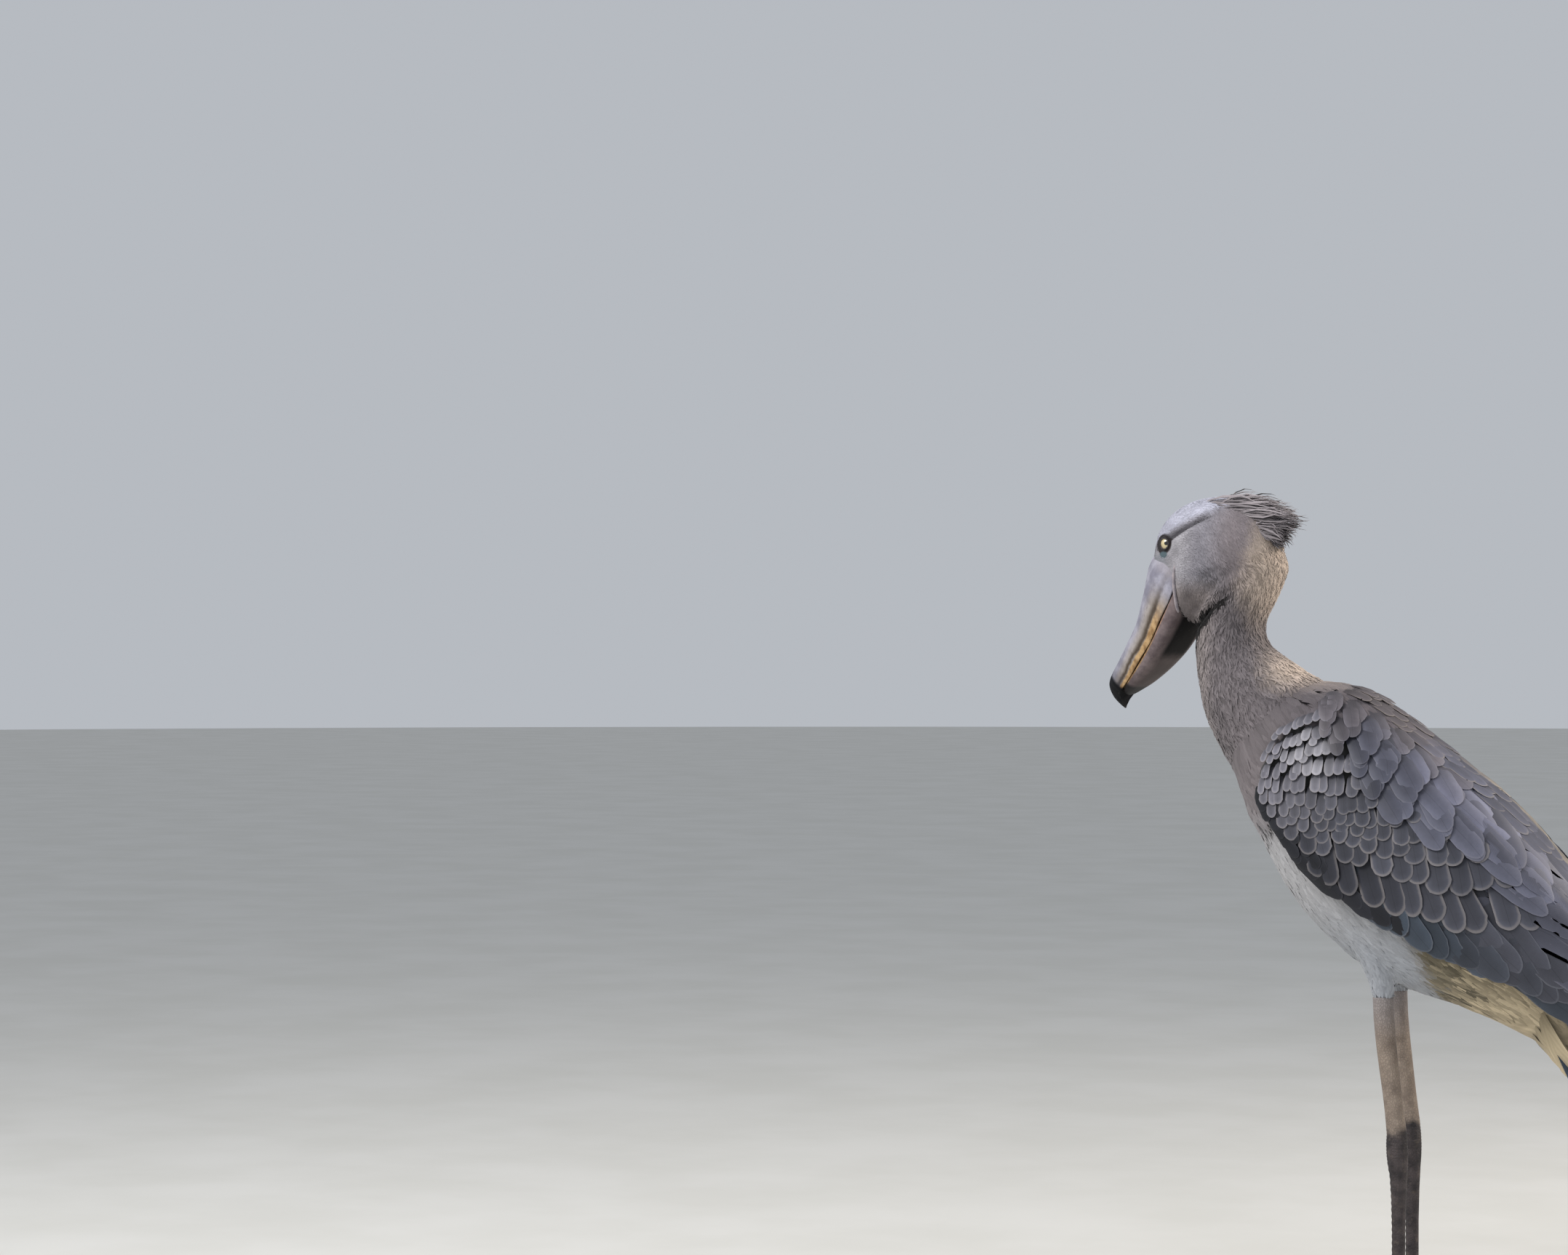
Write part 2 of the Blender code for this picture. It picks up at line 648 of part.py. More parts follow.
def wing_core(name, collection):
    """The folded wing's body, a slab over the side of the trunk that thins towards its tip."""
    outer = []
    inner = []
    count = 11
    turns = 7
    for along in np.linspace(WING_CORE_FROM, WING_CORE_TO, count):
        low = turn_at(along, edge_at(along) + np.interp(along, (-0.50, -0.34, -0.24), (0.002, 0.002, 0.018)))
        high = np.interp(along, (-0.57, -0.49, -0.38, -0.25), (0.98, 0.50, 0.20, 0.03))
        thick = np.interp(along, (-0.30, -0.16, -0.095, -0.07), (0.045, 0.030, 0.011, 0.006))
        round_off = np.interp(along, (-0.566, -0.545, -0.51), (0.010, 0.0035, 0.0))
        row_out = []
        row_in = []
        for turn in np.linspace(high, low, turns):
            edge = min(turn - high, low - turn) / (low - high)
            fall = WING_CORE_DEPTH + 0.0035 * max(0.0, 1 - edge * 9) + round_off
            row_out.append(on_wing(along, turn, -fall)[0])
            row_in.append(on_wing(along, turn, -thick - fall)[0])
        outer.append(row_out)
        inner.append(row_in)
    form = bmesh.new()
    tops = [[form.verts.new(p) for p in row] for row in outer]
    bottoms = [[form.verts.new(p) for p in row] for row in inner]

    def quads(a, b, c, d):
        form.faces.new((a, b, c))
        form.faces.new((a, c, d))

    for i in range(count - 1):
        for j in range(turns - 1):
            quads(tops[i][j], tops[i][j + 1], tops[i + 1][j + 1], tops[i + 1][j])
            quads(bottoms[i][j], bottoms[i][j + 1], bottoms[i + 1][j + 1], bottoms[i + 1][j])
        for j in (0, turns - 1):
            quads(tops[i][j], tops[i + 1][j], bottoms[i + 1][j], bottoms[i][j])
    for i in (0, count - 1):
        for j in range(turns - 1):
            quads(tops[i][j], tops[i][j + 1], bottoms[i][j + 1], bottoms[i][j])
    return from_bmesh(name, form, collection)


def wing_vanes(collection, draw):
    """All the feathers of the left wing, row by row."""
    for name, count, first, last, length, width, steeper, lift, step in WING_ROWS:
        for k in range(count):
            share = k / max(1, count - 1)
            along = first[0] + (last[0] - first[0]) * share + draw.uniform(-0.004, 0.004)
            across = first[1] + (last[1] - first[1]) * share
            slope = math.radians(steeper + draw.uniform(-2.0, 2.0))
            long = length * draw.uniform(0.95, 1.05)
            start = along - long * math.cos(slope)
            top = min(across + long * math.sin(slope), sum(wing_oval(start)[:2]) - 0.004)
            start = max(start, WING_CORE_FROM + 0.012)
            turn_a, turn_b = turn_at(start, top), turn_at(along, across)
            path = []
            normals = []
            for j in range(VANE_STEPS):
                t = j / (VANE_STEPS - 1)
                rise = lift + step * k if j else -ROOT_DEPTH
                here, normal = on_wing(start + (along - start) * t, turn_a + (turn_b - turn_a) * t, rise)
                path.append(here)
                normals.append(normal)
            vane(f"{name}_{k}", path, normals, width / 2, collection, roll=0.075, sag=1.0)


def mirrored(source, name, collection):
    """The same piece on the bird's other side."""
    form = bmesh.new()
    form.from_mesh(source.data)
    form.transform(Matrix.Diagonal((1.0, -1.0, 1.0, 1.0)))
    bmesh.ops.reverse_faces(form, faces=form.faces)
    mesh = bpy.data.meshes.new(name)
    form.to_mesh(mesh)
    form.free()
    return new_object(name, mesh, collection)


# ---------------------------------------------------------------- tail
def tail_root(name, collection):
    """The short fleshy tail and its coverts."""
    rings = []
    for along, top, bottom, half in smooth_rows(TAIL_STATIONS, 8):
        centre = on_trunk(along, 0.0, (top + bottom) / 2)
        rings.append(section(centre, TRUNK_UP, SIDE, (top - bottom) / 2, half, 18))
    return loft(name, rings, collection)


def tail_vanes(collection, draw):
    """Twelve tail feathers, the middle pair on top and each next pair a little lower."""
    half = TAIL_FEATHERS // 2
    for k in range(half):
        for side in (-1, 1):
            share = (k + 0.5) / half
            y_root = side * 0.018 * share
            y_tip = side * TAIL_HALF_FAN * share
            layer = -0.0015 * k - 0.004 * share * share + (0.0004 if side > 0 else -0.0004)
            short = 0.026 * share * share + draw.uniform(0.0, 0.004)
            path = []
            normals = []
            for j in range(VANE_STEPS):
                t = j / (VANE_STEPS - 1)
                along = TAIL_ROOT[0] + (TAIL_TIP[0] - short - TAIL_ROOT[0]) * t
                across = TAIL_ROOT[1] + (TAIL_TIP[1] - TAIL_ROOT[1]) * t + 0.004 * math.sin(math.pi * t)
                path.append(on_trunk(along, y_root + (y_tip - y_root) * t**0.8, across + layer))
                lean = Vector((0.0, side * 0.16 * share, 0.0))
                normals.append((TRUNK_UP + lean).normalized())
            vane(f"tail_feather_{k}_{side}", path, normals, TAIL_WIDTH / 2, collection, 0.0013)


# ---------------------------------------------------------------- crest
def crest_vanes(collection, draw):
    """The short ragged tuft at the back of the crown."""
    for k in range(CREST_FEATHERS):
        layer = k % 3
        share = (k // 3) / (CREST_FEATHERS // 3 - 1) * 2 - 1
        out = 0.024 * share * (1 - 0.15 * layer) + draw.uniform(-0.002, 0.002)
        long = (0.076 - 0.012 * layer) * (1 - 0.26 * abs(share)) * draw.uniform(0.82, 1.08)
        height = 0.0585 - 0.013 * layer - 0.008 * share * share
        start = HEAD_PLACE + LEVEL * (-0.104 - 0.012 * layer) + RISE * height
        droop = -0.04 + 0.15 * layer + draw.uniform(-0.05, 0.05)
        path = []
        normals = []
        for j in range(VANE_STEPS):
            t = j / (VANE_STEPS - 1)
            fall = -long * (droop * t + 0.30 * t * t) + 0.006 * math.sin(math.pi * min(1.0, t * 1.4))
            place = start - LEVEL * long * t + RISE * fall + HEAD_LEFT * (out * (1 + 0.35 * t))
            path.append(place)
            normals.append((RISE + HEAD_LEFT * share * 0.5).normalized())
        vane(f"crest_feather_{k}", path, normals, CREST_HALF_WIDTH, collection)


# ---------------------------------------------------------------- legs and feet
def column(name, rows, place, side, count, rings, collection, gap_top=0.0, gap_bottom=0.0):
    """An upright stretch of leg through level sections."""
    made = []
    for k, (z, long, wide, ahead, out) in enumerate(smooth_rows(rows, rings)):
        z += (k == rings - 1) * gap_bottom - (k == 0) * gap_top
        centre = Vector((place[0] - ahead, place[1] + side * out, z))
        made.append(section(centre, Vector((1, 0, 0)), SIDE, long, wide, count, 2.0))
    return loft(name, made, collection)


def toe(name, root, heading, length, half, collection):
    """A toe that lies on the floor: swellings at its joints, a flat sole."""
    ahead = Vector((math.cos(heading), math.sin(heading), 0.0))
    beside = Vector((-ahead.y, ahead.x, 0.0))
    rings = []
    count = 7
    for k in range(count):
        t = k / (count - 1)
        swell = 1.0 + 0.09 * math.cos(2 * math.pi * t * 3.0)
        wide = half * (1.0 - 0.36 * t) * swell * min(1.0, 0.62 + 1.9 * t)
        high = half * (2.0 - 0.95 * t) * swell
        centre = root + ahead * length * t
        ring = []
        for out, up in SOLE_AND_BACK:
            ring.append(centre + beside * wide * out + RISE * high * up)
        rings.append(ring)
    return loft(name, rings, collection)


# A toe's section: share of its half width and of its height, from the sole round over the back.
SOLE_AND_BACK = (
    (-0.62, 0.0),
    (0.62, 0.0),
    (1.0, 0.38),
    (0.62, 0.88),
    (0.0, 1.0),
    (-0.62, 0.88),
    (-1.0, 0.38),
)


def claw(name, root, heading, half, collection):
    """A long, nearly straight claw that bends to the floor."""
    ahead = Vector((math.cos(heading), math.sin(heading), 0.0))
    beside = Vector((-ahead.y, ahead.x, 0.0))
    rings = []
    count = 5
    for k in range(count):
        t = k / (count - 1)
        radius = half * (1.0 - t) ** 0.8 + 0.00045
        z = 0.0046 * (1 - t**2.2) + 0.0009 + 0.0012 * math.sin(math.pi * t)
        centre = Vector((root.x, root.y, 0.0)) + ahead * CLAW_LENGTH * t + RISE * z
        ring = []
        for j in range(6):
            turn = 2 * math.pi * j / 6
            ring.append(centre + beside * radius * 0.72 * math.sin(turn) + RISE * radius * math.cos(turn))
        rings.append(ring)
    return loft(name, rings, collection)


# ---------------------------------------------------------------- the bird
def build_core(bird, cutters):
    """Torso, neck and head, modelled whole and parted with thin cuts."""
    flesh = trunk("flesh", cutters)
    cut(flesh, neck("neck_form", cutters), "UNION")
    head_form = skull("skull_form", cutters)
    cut(flesh, head_form, "UNION")

    upper = upper_bill("bill_upper", bird)
    lower = lower_bill("bill_lower", bird)
    upper_space = upper_bill("bill_upper_space", cutters, GAP)
    lower_space = lower_bill("bill_lower_space", cutters, GAP)

    torso = copied(flesh, "torso", bird)
    cut(torso, half_space("ahead_of_torso", *NECK_CUT, True, cutters))
    middle = copied(flesh, "neck", bird)
    cut(middle, half_space("behind_neck", *NECK_CUT, False, cutters))
    cut(middle, half_space("ahead_of_neck", *HEAD_CUT, True, cutters))
    head = copied(flesh, "head", bird)
    cut(head, half_space("behind_head", *HEAD_CUT, False, cutters))
    for space in (upper_space, lower_space):
        cut(middle, space)
    whole(middle)
    return torso, middle, head, upper, lower


def build_face(bird, cutters, head, upper):
    """Eyes, lids, brows, crest and nostrils."""
    draw = random.Random(SEED)
    eyes = []
    for side, name in ((1, "eye_left"), (-1, "eye_right")):
        matrix = eye_frame(side) @ Matrix.Rotation(math.pi / 2, 4, "Y")
        eyes.append(ellipsoid(name, matrix, (EYE_RADIUS,) * 3, bird, 7))
        orbit_frame = eye_frame(side) @ Matrix.Translation((EYE_RADIUS + 0.0020, 0.0, 0.0))
        cut(head, ellipsoid(f"orbit_{side}", orbit_frame, ORBIT, cutters, 6))
    extras = new_group("head_extras")
    for side in (1, -1):
        ellipsoid(f"ring_{side}", eye_frame(side), (EYE_RADIUS + 0.0010,) * 3, extras, 6)
        place = HEAD_PLACE + LEVEL * -0.004 + HEAD_LEFT * side * 0.0315 + RISE * 0.0195
        along = LEVEL * -1.0 + RISE * 0.50 + HEAD_LEFT * side * 0.10
        ellipsoid(f"brow_{side}", frame(place, along, RISE), (0.026, 0.0070, 0.0058), extras, 5)
    crest_vanes(extras, draw)
    fused(head, extras)
    lids = new_group("lids")
    for side in (1, -1):
        opening = eye_frame(side) @ Matrix.Translation((EYE_RADIUS, 0.0, 0.0))
        cut(head, ellipsoid(f"opening_{side}", opening, (0.0120, 0.0098, 0.0076), cutters, 6))
        lid(f"lid_upper_{side}", side, True, lids)
        lid(f"lid_lower_{side}", side, False, lids)
    fused(head, lids)
    for side in (1, -1):
        socket = ellipsoid(f"socket_{side}", eye_frame(side), (EYE_RADIUS + 2 * GAP,) * 3, cutters, 7)
        cut(head, socket)
        cut(upper, nostril_slit(f"nostril_{side}", side, cutters))
    for space in ("bill_upper_space", "bill_lower_space"):
        cut(head, cutters.objects[space])
    whole(head)
    return eyes


def build_wings(bird, cutters):
    """Both wings, folded over the trunk."""
    left = wing_core("wing_left", bird)
    rows = new_group("wing_feathers")
    wing_vanes(rows, random.Random(SEED))
    fused(left, rows)
    cut(left, trunk("trunk_space", cutters, GAP))
    beyond = block("midline", Matrix.Translation((0.0, 1.0 - 0.0008, 0.5)), (2.0, 2.0, 2.0), cutters)
    cut(left, beyond)
    whole(left)
    lightened(left)
    right = mirrored(left, "wing_right", bird)
    return left, right


def build_tail(bird, cutters):
    """Tail root and feathers."""
    tail = tail_root("tail", bird)
    rows = new_group("tail_feathers")
    tail_vanes(rows, random.Random(SEED))
    fused(tail, rows)
    cut(tail, trunk("tail_trunk_space", cutters, GAP))
    whole(tail)
    lightened(tail)
    return tail


def build_legs(bird, cutters):
    """Both legs from thigh to claws."""
    made = []
    for (x, y), side, label in ((LEG_PLACES[0], -1, "left"), (LEG_PLACES[1], 1, "right")):
        place = (x, y)
        thigh = column(f"thigh_{label}", THIGH_STATIONS, place, side, 14, 8, bird, 0.0, GAP / 2)
        cut(thigh, trunk(f"thigh_trunk_space_{label}", cutters, GAP))
        whole(thigh)
        made.append((thigh, "belly"))
        shank = column(
            f"shank_{label}", SHANK_STATIONS, place, side, 12, 7, bird, GAP / 2, GAP / 2
        )
        made.append((shank, "shank"))
        tarsus = column(f"tarsus_{label}", TARSUS_STATIONS, place, side, 10, 11, bird, GAP / 2)
        ball_place = Vector((x, y, FOOT_BALL_HEIGHT))
        ball = ellipsoid(f"ball_{label}", Matrix.Translation(ball_place), FOOT_BALL, cutters, 6)
        cut(tarsus, ball, "UNION")
        floor = block(f"floor_{label}", Matrix.Translation((x, y, -0.5)), (1.0, 1.0, 1.0), cutters)
        cut(tarsus, floor)
        whole(tarsus)
        made.append((tarsus, "tarsus"))
        grown = tuple(r + GAP for r in FOOT_BALL)
        ball_space = ellipsoid(
            f"ball_space_{label}", Matrix.Translation(ball_place), grown, cutters, 6
        )
        for toe_name, angle, length, half in TOES:
            turn = 180.0 + side * angle - side * FOOT_SPLAY
            heading = math.radians(turn)
            ahead = Vector((math.cos(heading), math.sin(heading), 0.0))
            root = Vector((x, y, 0.0)) + ahead * 0.012
            piece = toe(f"toe_{toe_name}_{label}", root, heading, length, half, bird)
            cut(piece, ball_space)
            whole(piece)
            made.append((piece, "tarsus"))
            tip = root + ahead * (length + GAP)
            made.append((claw(f"claw_{toe_name}_{label}", tip, heading, 0.0034, bird), "claw"))
    return made


def main():
    """The whole bird, then its origin."""
    for old in list(bpy.data.objects):
        bpy.data.objects.remove(old, do_unlink=True)
    bird = new_group("shoebill")
    cutters = new_group("cutters")
    cutters.hide_render = True

    torso, middle, head, upper, lower = build_core(bird, cutters)
    eyes = build_face(bird, cutters, head, upper)
    wings = build_wings(bird, cutters)
    tail = build_tail(bird, cutters)
    for piece, colour in build_legs(bird, cutters):
        finished(piece, colour, 0.75)

    finished(torso, "belly", 0.85)
    finished(middle, "neck", 0.85)
    finished(head, "lavender", 0.80)
    finished(upper, "horn", 0.45)
    finished(lower, "mandible", 0.50)
    for eye in eyes:
        finished(eye, "iris", 0.15)
    for wing in wings:
        finished(wing, "slate", 0.70, 30.0)
    finished(tail, "slate", 0.70, 30.0)

    for cutter in list(cutters.objects):
        removed(cutter)
    corners = [v.co for piece in bird.objects for v in piece.data.vertices]
    middle_x = (min(c.x for c in corners) + max(c.x for c in corners)) / 2
    middle_y = (min(c.y for c in corners) + max(c.y for c in corners)) / 2
    for piece in bird.objects:
        piece.data.transform(Matrix.Translation((-middle_x, -middle_y, 0.0)))


main()
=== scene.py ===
"""Looks of a life-size standing shoebill: one skin, plumage feather by feather, bill, eyes, legs and a studio.

Everything is in metres in the model's own frame: +Z is up, the bird looks along -X and its left side is
towards -Y. Sizes of the body are named in a working frame whose origin lies between the feet.
"""

from __future__ import annotations

import logging
import math
from collections import defaultdict
from collections.abc import Iterator
from dataclasses import dataclass, field
from enum import Enum
from functools import partialmethod

import bmesh
import bpy
import numpy as np
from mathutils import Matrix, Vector, kdtree
from mathutils.bvhtree import BVHTree

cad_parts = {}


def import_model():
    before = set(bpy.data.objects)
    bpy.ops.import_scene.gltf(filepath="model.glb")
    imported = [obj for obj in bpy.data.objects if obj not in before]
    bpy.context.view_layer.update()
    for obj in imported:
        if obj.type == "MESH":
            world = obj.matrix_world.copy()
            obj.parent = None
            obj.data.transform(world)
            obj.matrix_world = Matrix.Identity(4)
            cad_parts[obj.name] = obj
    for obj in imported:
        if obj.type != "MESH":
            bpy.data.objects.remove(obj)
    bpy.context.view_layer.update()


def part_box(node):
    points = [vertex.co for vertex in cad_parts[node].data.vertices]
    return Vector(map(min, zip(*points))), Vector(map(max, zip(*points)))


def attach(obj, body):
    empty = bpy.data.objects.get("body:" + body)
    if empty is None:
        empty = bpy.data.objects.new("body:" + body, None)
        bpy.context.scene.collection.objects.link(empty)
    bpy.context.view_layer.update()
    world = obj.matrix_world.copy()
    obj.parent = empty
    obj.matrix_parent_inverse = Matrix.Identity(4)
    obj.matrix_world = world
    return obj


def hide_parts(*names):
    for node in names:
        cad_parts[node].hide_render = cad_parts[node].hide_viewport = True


LOG = logging.getLogger("shoebill")
SEED = 11
OVAL = 2.2  # how square the trunk's and the wings' sections are: 2 is an ellipse
Colour = tuple[float, float, float]
Pair = tuple[float, float]
Array = np.ndarray
Piece = bpy.types.Object
MATERIALS: dict = {}  # the material of each finish that is in use


class Region(Enum):
    """Parts of the plumage that are laid out apart."""

    HEAD = "head"
    NECK = "neck"
    BODY = "body"
    THIGH = "thigh"


def paint(red: int, green: int, blue: int) -> Colour:
    """A screen colour as linear light.

    Args:
        red: Red from 0 to 255.
        green: Green from 0 to 255.
        blue: Blue from 0 to 255.

    Returns:
        The three shares of linear light.
    """
    shares = [c / 255 for c in (red, green, blue)]
    return tuple(c / 12.92 if c <= 0.04045 else ((c + 0.055) / 1.055) ** 2.4 for c in shares)


def step(x: Array | float, low: float, high: float) -> Array:
    """A smooth rise from 0 at low to 1 at high, or a fall where low is the larger."""
    t = np.clip((np.asarray(x, float) - low) / (high - low), 0.0, 1.0)
    return t * t * (3 - 2 * t)


def smooth_rows(rows: tuple, count: int) -> Array:
    """Rows of numbers read from a smooth curve through the given rows.

    Args:
        rows: The rows that the curve passes through.
        count: How many rows are wanted, evenly between the first and the last.

    Returns:
        An array of count rows.
    """
    table = np.array(rows, float)
    slopes = np.gradient(table, axis=0)
    places = np.linspace(0, len(table) - 1, count)
    first = np.minimum(places.astype(int), len(table) - 2)
    u = (places - first)[:, None]
    a, b = 2 * u**3 - 3 * u**2 + 1, u**3 - 2 * u**2 + u
    c, d = -2 * u**3 + 3 * u**2, u**3 - u**2
    return a * table[first] + b * slopes[first] + c * table[first + 1] + d * slopes[first + 1]


def bell(x: Array, width: float) -> Array:
    """A smooth bump, 1 where x is 0, that fades over a width."""
    return np.exp(-(x / width) ** 2)


def unit(v: Array) -> Array:
    """Vectors along the last axis, made one long."""
    return v / np.maximum(np.linalg.norm(v, axis=-1, keepdims=True), 1e-12)


# ------------ stance
@dataclass
class Stance:
    """Where the bird's parts are and which way they face.

    Args:
        feet: The point between the feet, in the model's frame.
    """

    feet: Vector
    body_pitch: float = math.radians(37.0)
    head_place: Vector = field(default_factory=lambda: Vector((-0.32, 0.01, 1.0198)))
    head_yaw: float = math.radians(10.0)
    bill_pitch: float = math.radians(56.0)
    neck_foot: Pair = (-0.192, 0.806)  # where the neck leaves the trunk, forwards and up
    neck_way: Pair = (-0.695, 0.719)

    def __post_init__(self) -> None:
        """Works out the axes of head, bill and trunk."""
        self.level = Vector((-math.cos(self.head_yaw), math.sin(self.head_yaw), 0.0))
        self.rise = Vector((0.0, 0.0, 1.0))
        self.left = self.rise.cross(self.level)
        self.forward = self.level * math.cos(self.bill_pitch) - self.rise * math.sin(self.bill_pitch)
        self.up = self.level * math.sin(self.bill_pitch) + self.rise * math.cos(self.bill_pitch)
        self.trunk_up = Vector((math.sin(self.body_pitch), 0.0, math.cos(self.body_pitch)))
        self.trunk_back = Vector((math.cos(self.body_pitch), 0.0, -math.sin(self.body_pitch)))

    def in_bill(self, forward: float, left: float, up: float) -> Vector:
        """A point along the bill, to the left and out of the crown."""
        middle = self.feet + self.head_place
        return middle + self.forward * forward + self.left * left + self.up * up

    def in_head(self, ahead: float, left: float, up: float) -> Vector:
        """A point level ahead of the eyes, to the left and upright."""
        return self.feet + self.head_place + self.level * ahead + self.left * left + self.rise * up

    def on_trunk(self, along: float, y: float, across: float) -> Vector:
        """A point along and across the sloping trunk axis."""
        place = self.trunk_back * along + self.trunk_up * across
        return self.feet + Vector((place.x, y, place.z))

    def bill_coordinates(self, points: Array) -> Array:
        """Forward, left and up in the bill's frame for many points."""
        return (points - np.array(self.feet + self.head_place)) @ np.array([self.forward, self.left, self.up]).T

    def head_coordinates(self, points: Array) -> Array:
        """Ahead, left and up in the level frame of the head for many points."""
        return (points - np.array(self.feet + self.head_place)) @ np.array([self.level, self.left, self.rise]).T

    def trunk_coordinates(self, points: Array) -> Array:
        """Along, sideways and across in the trunk's frame for many points."""
        return (points - np.array(self.feet)) @ np.array([self.trunk_back, (0.0, 1.0, 0.0), self.trunk_up]).T

    def up_neck(self, points: Array) -> Array:
        """How far many points lie up the neck from its foot."""
        (x, z), (forward, up) = self.neck_foot, self.neck_way
        return (points[:, 0] - self.feet.x - x) * forward + (points[:, 2] - z) * up

    def trunk_points(self, along: Array, y: Array, across: Array) -> Array:
        """Many points along, beside and across the sloping trunk axis."""
        spots = np.outer(along, np.array(self.trunk_back)) + np.outer(across, np.array(self.trunk_up))
        spots[:, 1] += y
        return spots + np.array(self.feet)


# ------------ shader tools
@dataclass
class Wire:
    """A value in a material's node tree, with Python's operators for its maths."""

    graph: "Graph"
    socket: bpy.types.NodeSocket

    def _maths(self, operation: str, *others: "Wire | float", swapped: bool = False) -> "Wire":
        """A Math node on this and other values, with the others first where they are swapped."""
        node = self.graph.node("ShaderNodeMath", {"operation": operation})
        for k, value in enumerate((*others, self) if swapped else (self, *others)):
            self.graph.feed(node.inputs[k], value)
        return Wire(self.graph, node.outputs[0])

    __add__ = __radd__ = partialmethod(_maths, "ADD")
    __sub__ = partialmethod(_maths, "SUBTRACT")
    __rsub__ = partialmethod(_maths, "SUBTRACT", swapped=True)
    __mul__ = __rmul__ = partialmethod(_maths, "MULTIPLY")
    __pow__ = partialmethod(_maths, "POWER")
    __abs__ = partialmethod(_maths, "ABSOLUTE")
    sine = partialmethod(_maths, "SINE")
    high = partialmethod(_maths, "MAXIMUM")

    def between(self, start: float, end: float) -> "Wire":
        """A smooth rise from 0 at start to 1 at end."""
        settings = {"interpolation_type": "SMOOTHSTEP"}
        node = self.graph.node("ShaderNodeMapRange", settings, {"From Min": start, "From Max": end})
        self.graph.feed(node.inputs["Value"], self)
        return Wire(self.graph, node.outputs["Result"])


class Graph:
    """One material's node tree, built from a Principled shader."""

    def __init__(self, name: str) -> None:
        """Makes the material of a name."""
        self.material = bpy.data.materials.new(name)
        self.material.use_nodes = True
        self.tree = self.material.node_tree
        self.shader = self.tree.nodes["Principled BSDF"]

    def feed(self, socket: bpy.types.NodeSocket, value: object) -> None:
        """Links a wire to a socket, or sets the socket to a plain value."""
        if isinstance(value, Wire):
            self.tree.links.new(value.socket, socket)
        elif socket.type == "RGBA" and len(value) == 3:
            socket.default_value = (*value, 1.0)
        else:
            socket.default_value = value

    def node(self, kind: str, settings: dict | None = None, values: dict | None = None) -> bpy.types.Node:
        """Any node, its settings first and its sockets' values or links after.

        Args:
            kind: The node's type.
            settings: Properties of the node.
            values: Sockets by name, with a value or a wire for each.

        Returns:
            The node.
        """
        made = self.tree.nodes.new(kind)
        for key, value in (settings or {}).items():
            setattr(made, key, value)
        for key, value in (values or {}).items():
            self.feed(made.inputs[key], value)
        return made

    def wire(self, kind: str, settings: dict | None = None, values: dict | None = None, out: int | str = 0) -> Wire:
        """One output of a new node."""
        return Wire(self, self.node(kind, settings, values).outputs[out])

    def mix(self, share: Wire | float, first: object, second: object, way: str = "MIX") -> Wire:
        """A blend of two colours.

        Args:
            share: How much of the second colour.
            first: A colour or a wire.
            second: A colour or a wire.
            way: The blend type.

        Returns:
            The blended colour.
        """
        made = self.node("ShaderNodeMix", {"data_type": "RGBA", "blend_type": way})
        for index, value in ((0, share), (6, first), (7, second)):
            self.feed(made.inputs[index], value)
        return Wire(self, made.outputs[2])

    def layered(self, colour: object, layers: tuple) -> Wire:
        """A colour under layers of others, each given as its share and its colour."""
        for share, over in layers:
            colour = self.mix(share, colour, over)
        return colour

    def shaded(self, colour: Wire, value: Wire) -> Wire:
        """A colour times a number."""
        grey = self.wire("ShaderNodeCombineColor", None, {"Red": value, "Green": value, "Blue": value})
        return self.mix(1.0, colour, grey, "MULTIPLY")

    def place(self, stretch: tuple | None = None) -> Wire:
        """The point on the piece in the model's frame, with the scale of each axis if it isn't 1."""
        where = self.wire("ShaderNodeTexCoord", out="Object")
        return self.wire("ShaderNodeMapping", None, {"Vector": where, "Scale": stretch}) if stretch else where

    def noise(self, scale: float, detail: float = 3.0, stretch: tuple | None = None, rough: float = 0.55) -> Wire:
        """Soft noise over the model's frame.

        Args:
            scale: Repeats per metre.
            detail: Octaves.
            stretch: Scale of each axis, for streaks.
            rough: Share kept by each finer octave.

        Returns:
            A number near 0.5.
        """
        values = {"Vector": self.place(stretch), "Scale": scale, "Detail": detail, "Roughness": rough}
        return self.wire("ShaderNodeTexNoise", None, values)

    def cells(self, scale: float, stretch: tuple) -> Wire:
        """How far a point lies from the edge of its cell, with so many cells per metre."""
        values = {"Vector": self.place(stretch), "Scale": scale}
        return self.wire("ShaderNodeTexVoronoi", {"feature": "DISTANCE_TO_EDGE"}, values, "Distance")

    def vane_uv(self, name: str) -> tuple[Wire, Wire]:
        """Both coordinates of one of the piece's maps."""
        parts = self.node("ShaderNodeSeparateXYZ", None, {"Vector": self.wire("ShaderNodeUVMap", {"uv_map": name})})
        return Wire(self, parts.outputs[0]), Wire(self, parts.outputs[1])

    def carried(self, name: str, kind: str = "Fac") -> Wire:
        """A number, or with the kind Color a colour, that the piece carries at each point."""
        return self.wire("ShaderNodeAttribute", {"attribute_name": name}, out=kind)

    def bump(self, height: Wire, strength: float, depth: float) -> None:
        """Roughens the surface by a height of about 0 to 1, shown by a strength and metres deep."""
        values = {"Height": height, "Strength": strength, "Distance": depth}
        self.feed(self.shader.inputs["Normal"], self.wire("ShaderNodeBump", None, values))

    def finish(self, colour: object, roughness: object, **constants: float) -> bpy.types.Material:
        """Sets the shader and hands over the material.

        Args:
            colour: Base colour, plain or a wire.
            roughness: Roughness, plain or a wire.
            **constants: Other sockets of the shader, with underscores for spaces.

        Returns:
            The material.
        """
        for name, value in {"Base_Color": colour, "Roughness": roughness, **constants}.items():
            self.feed(self.shader.inputs[name.replace("_", " ")], value)
        return self.material


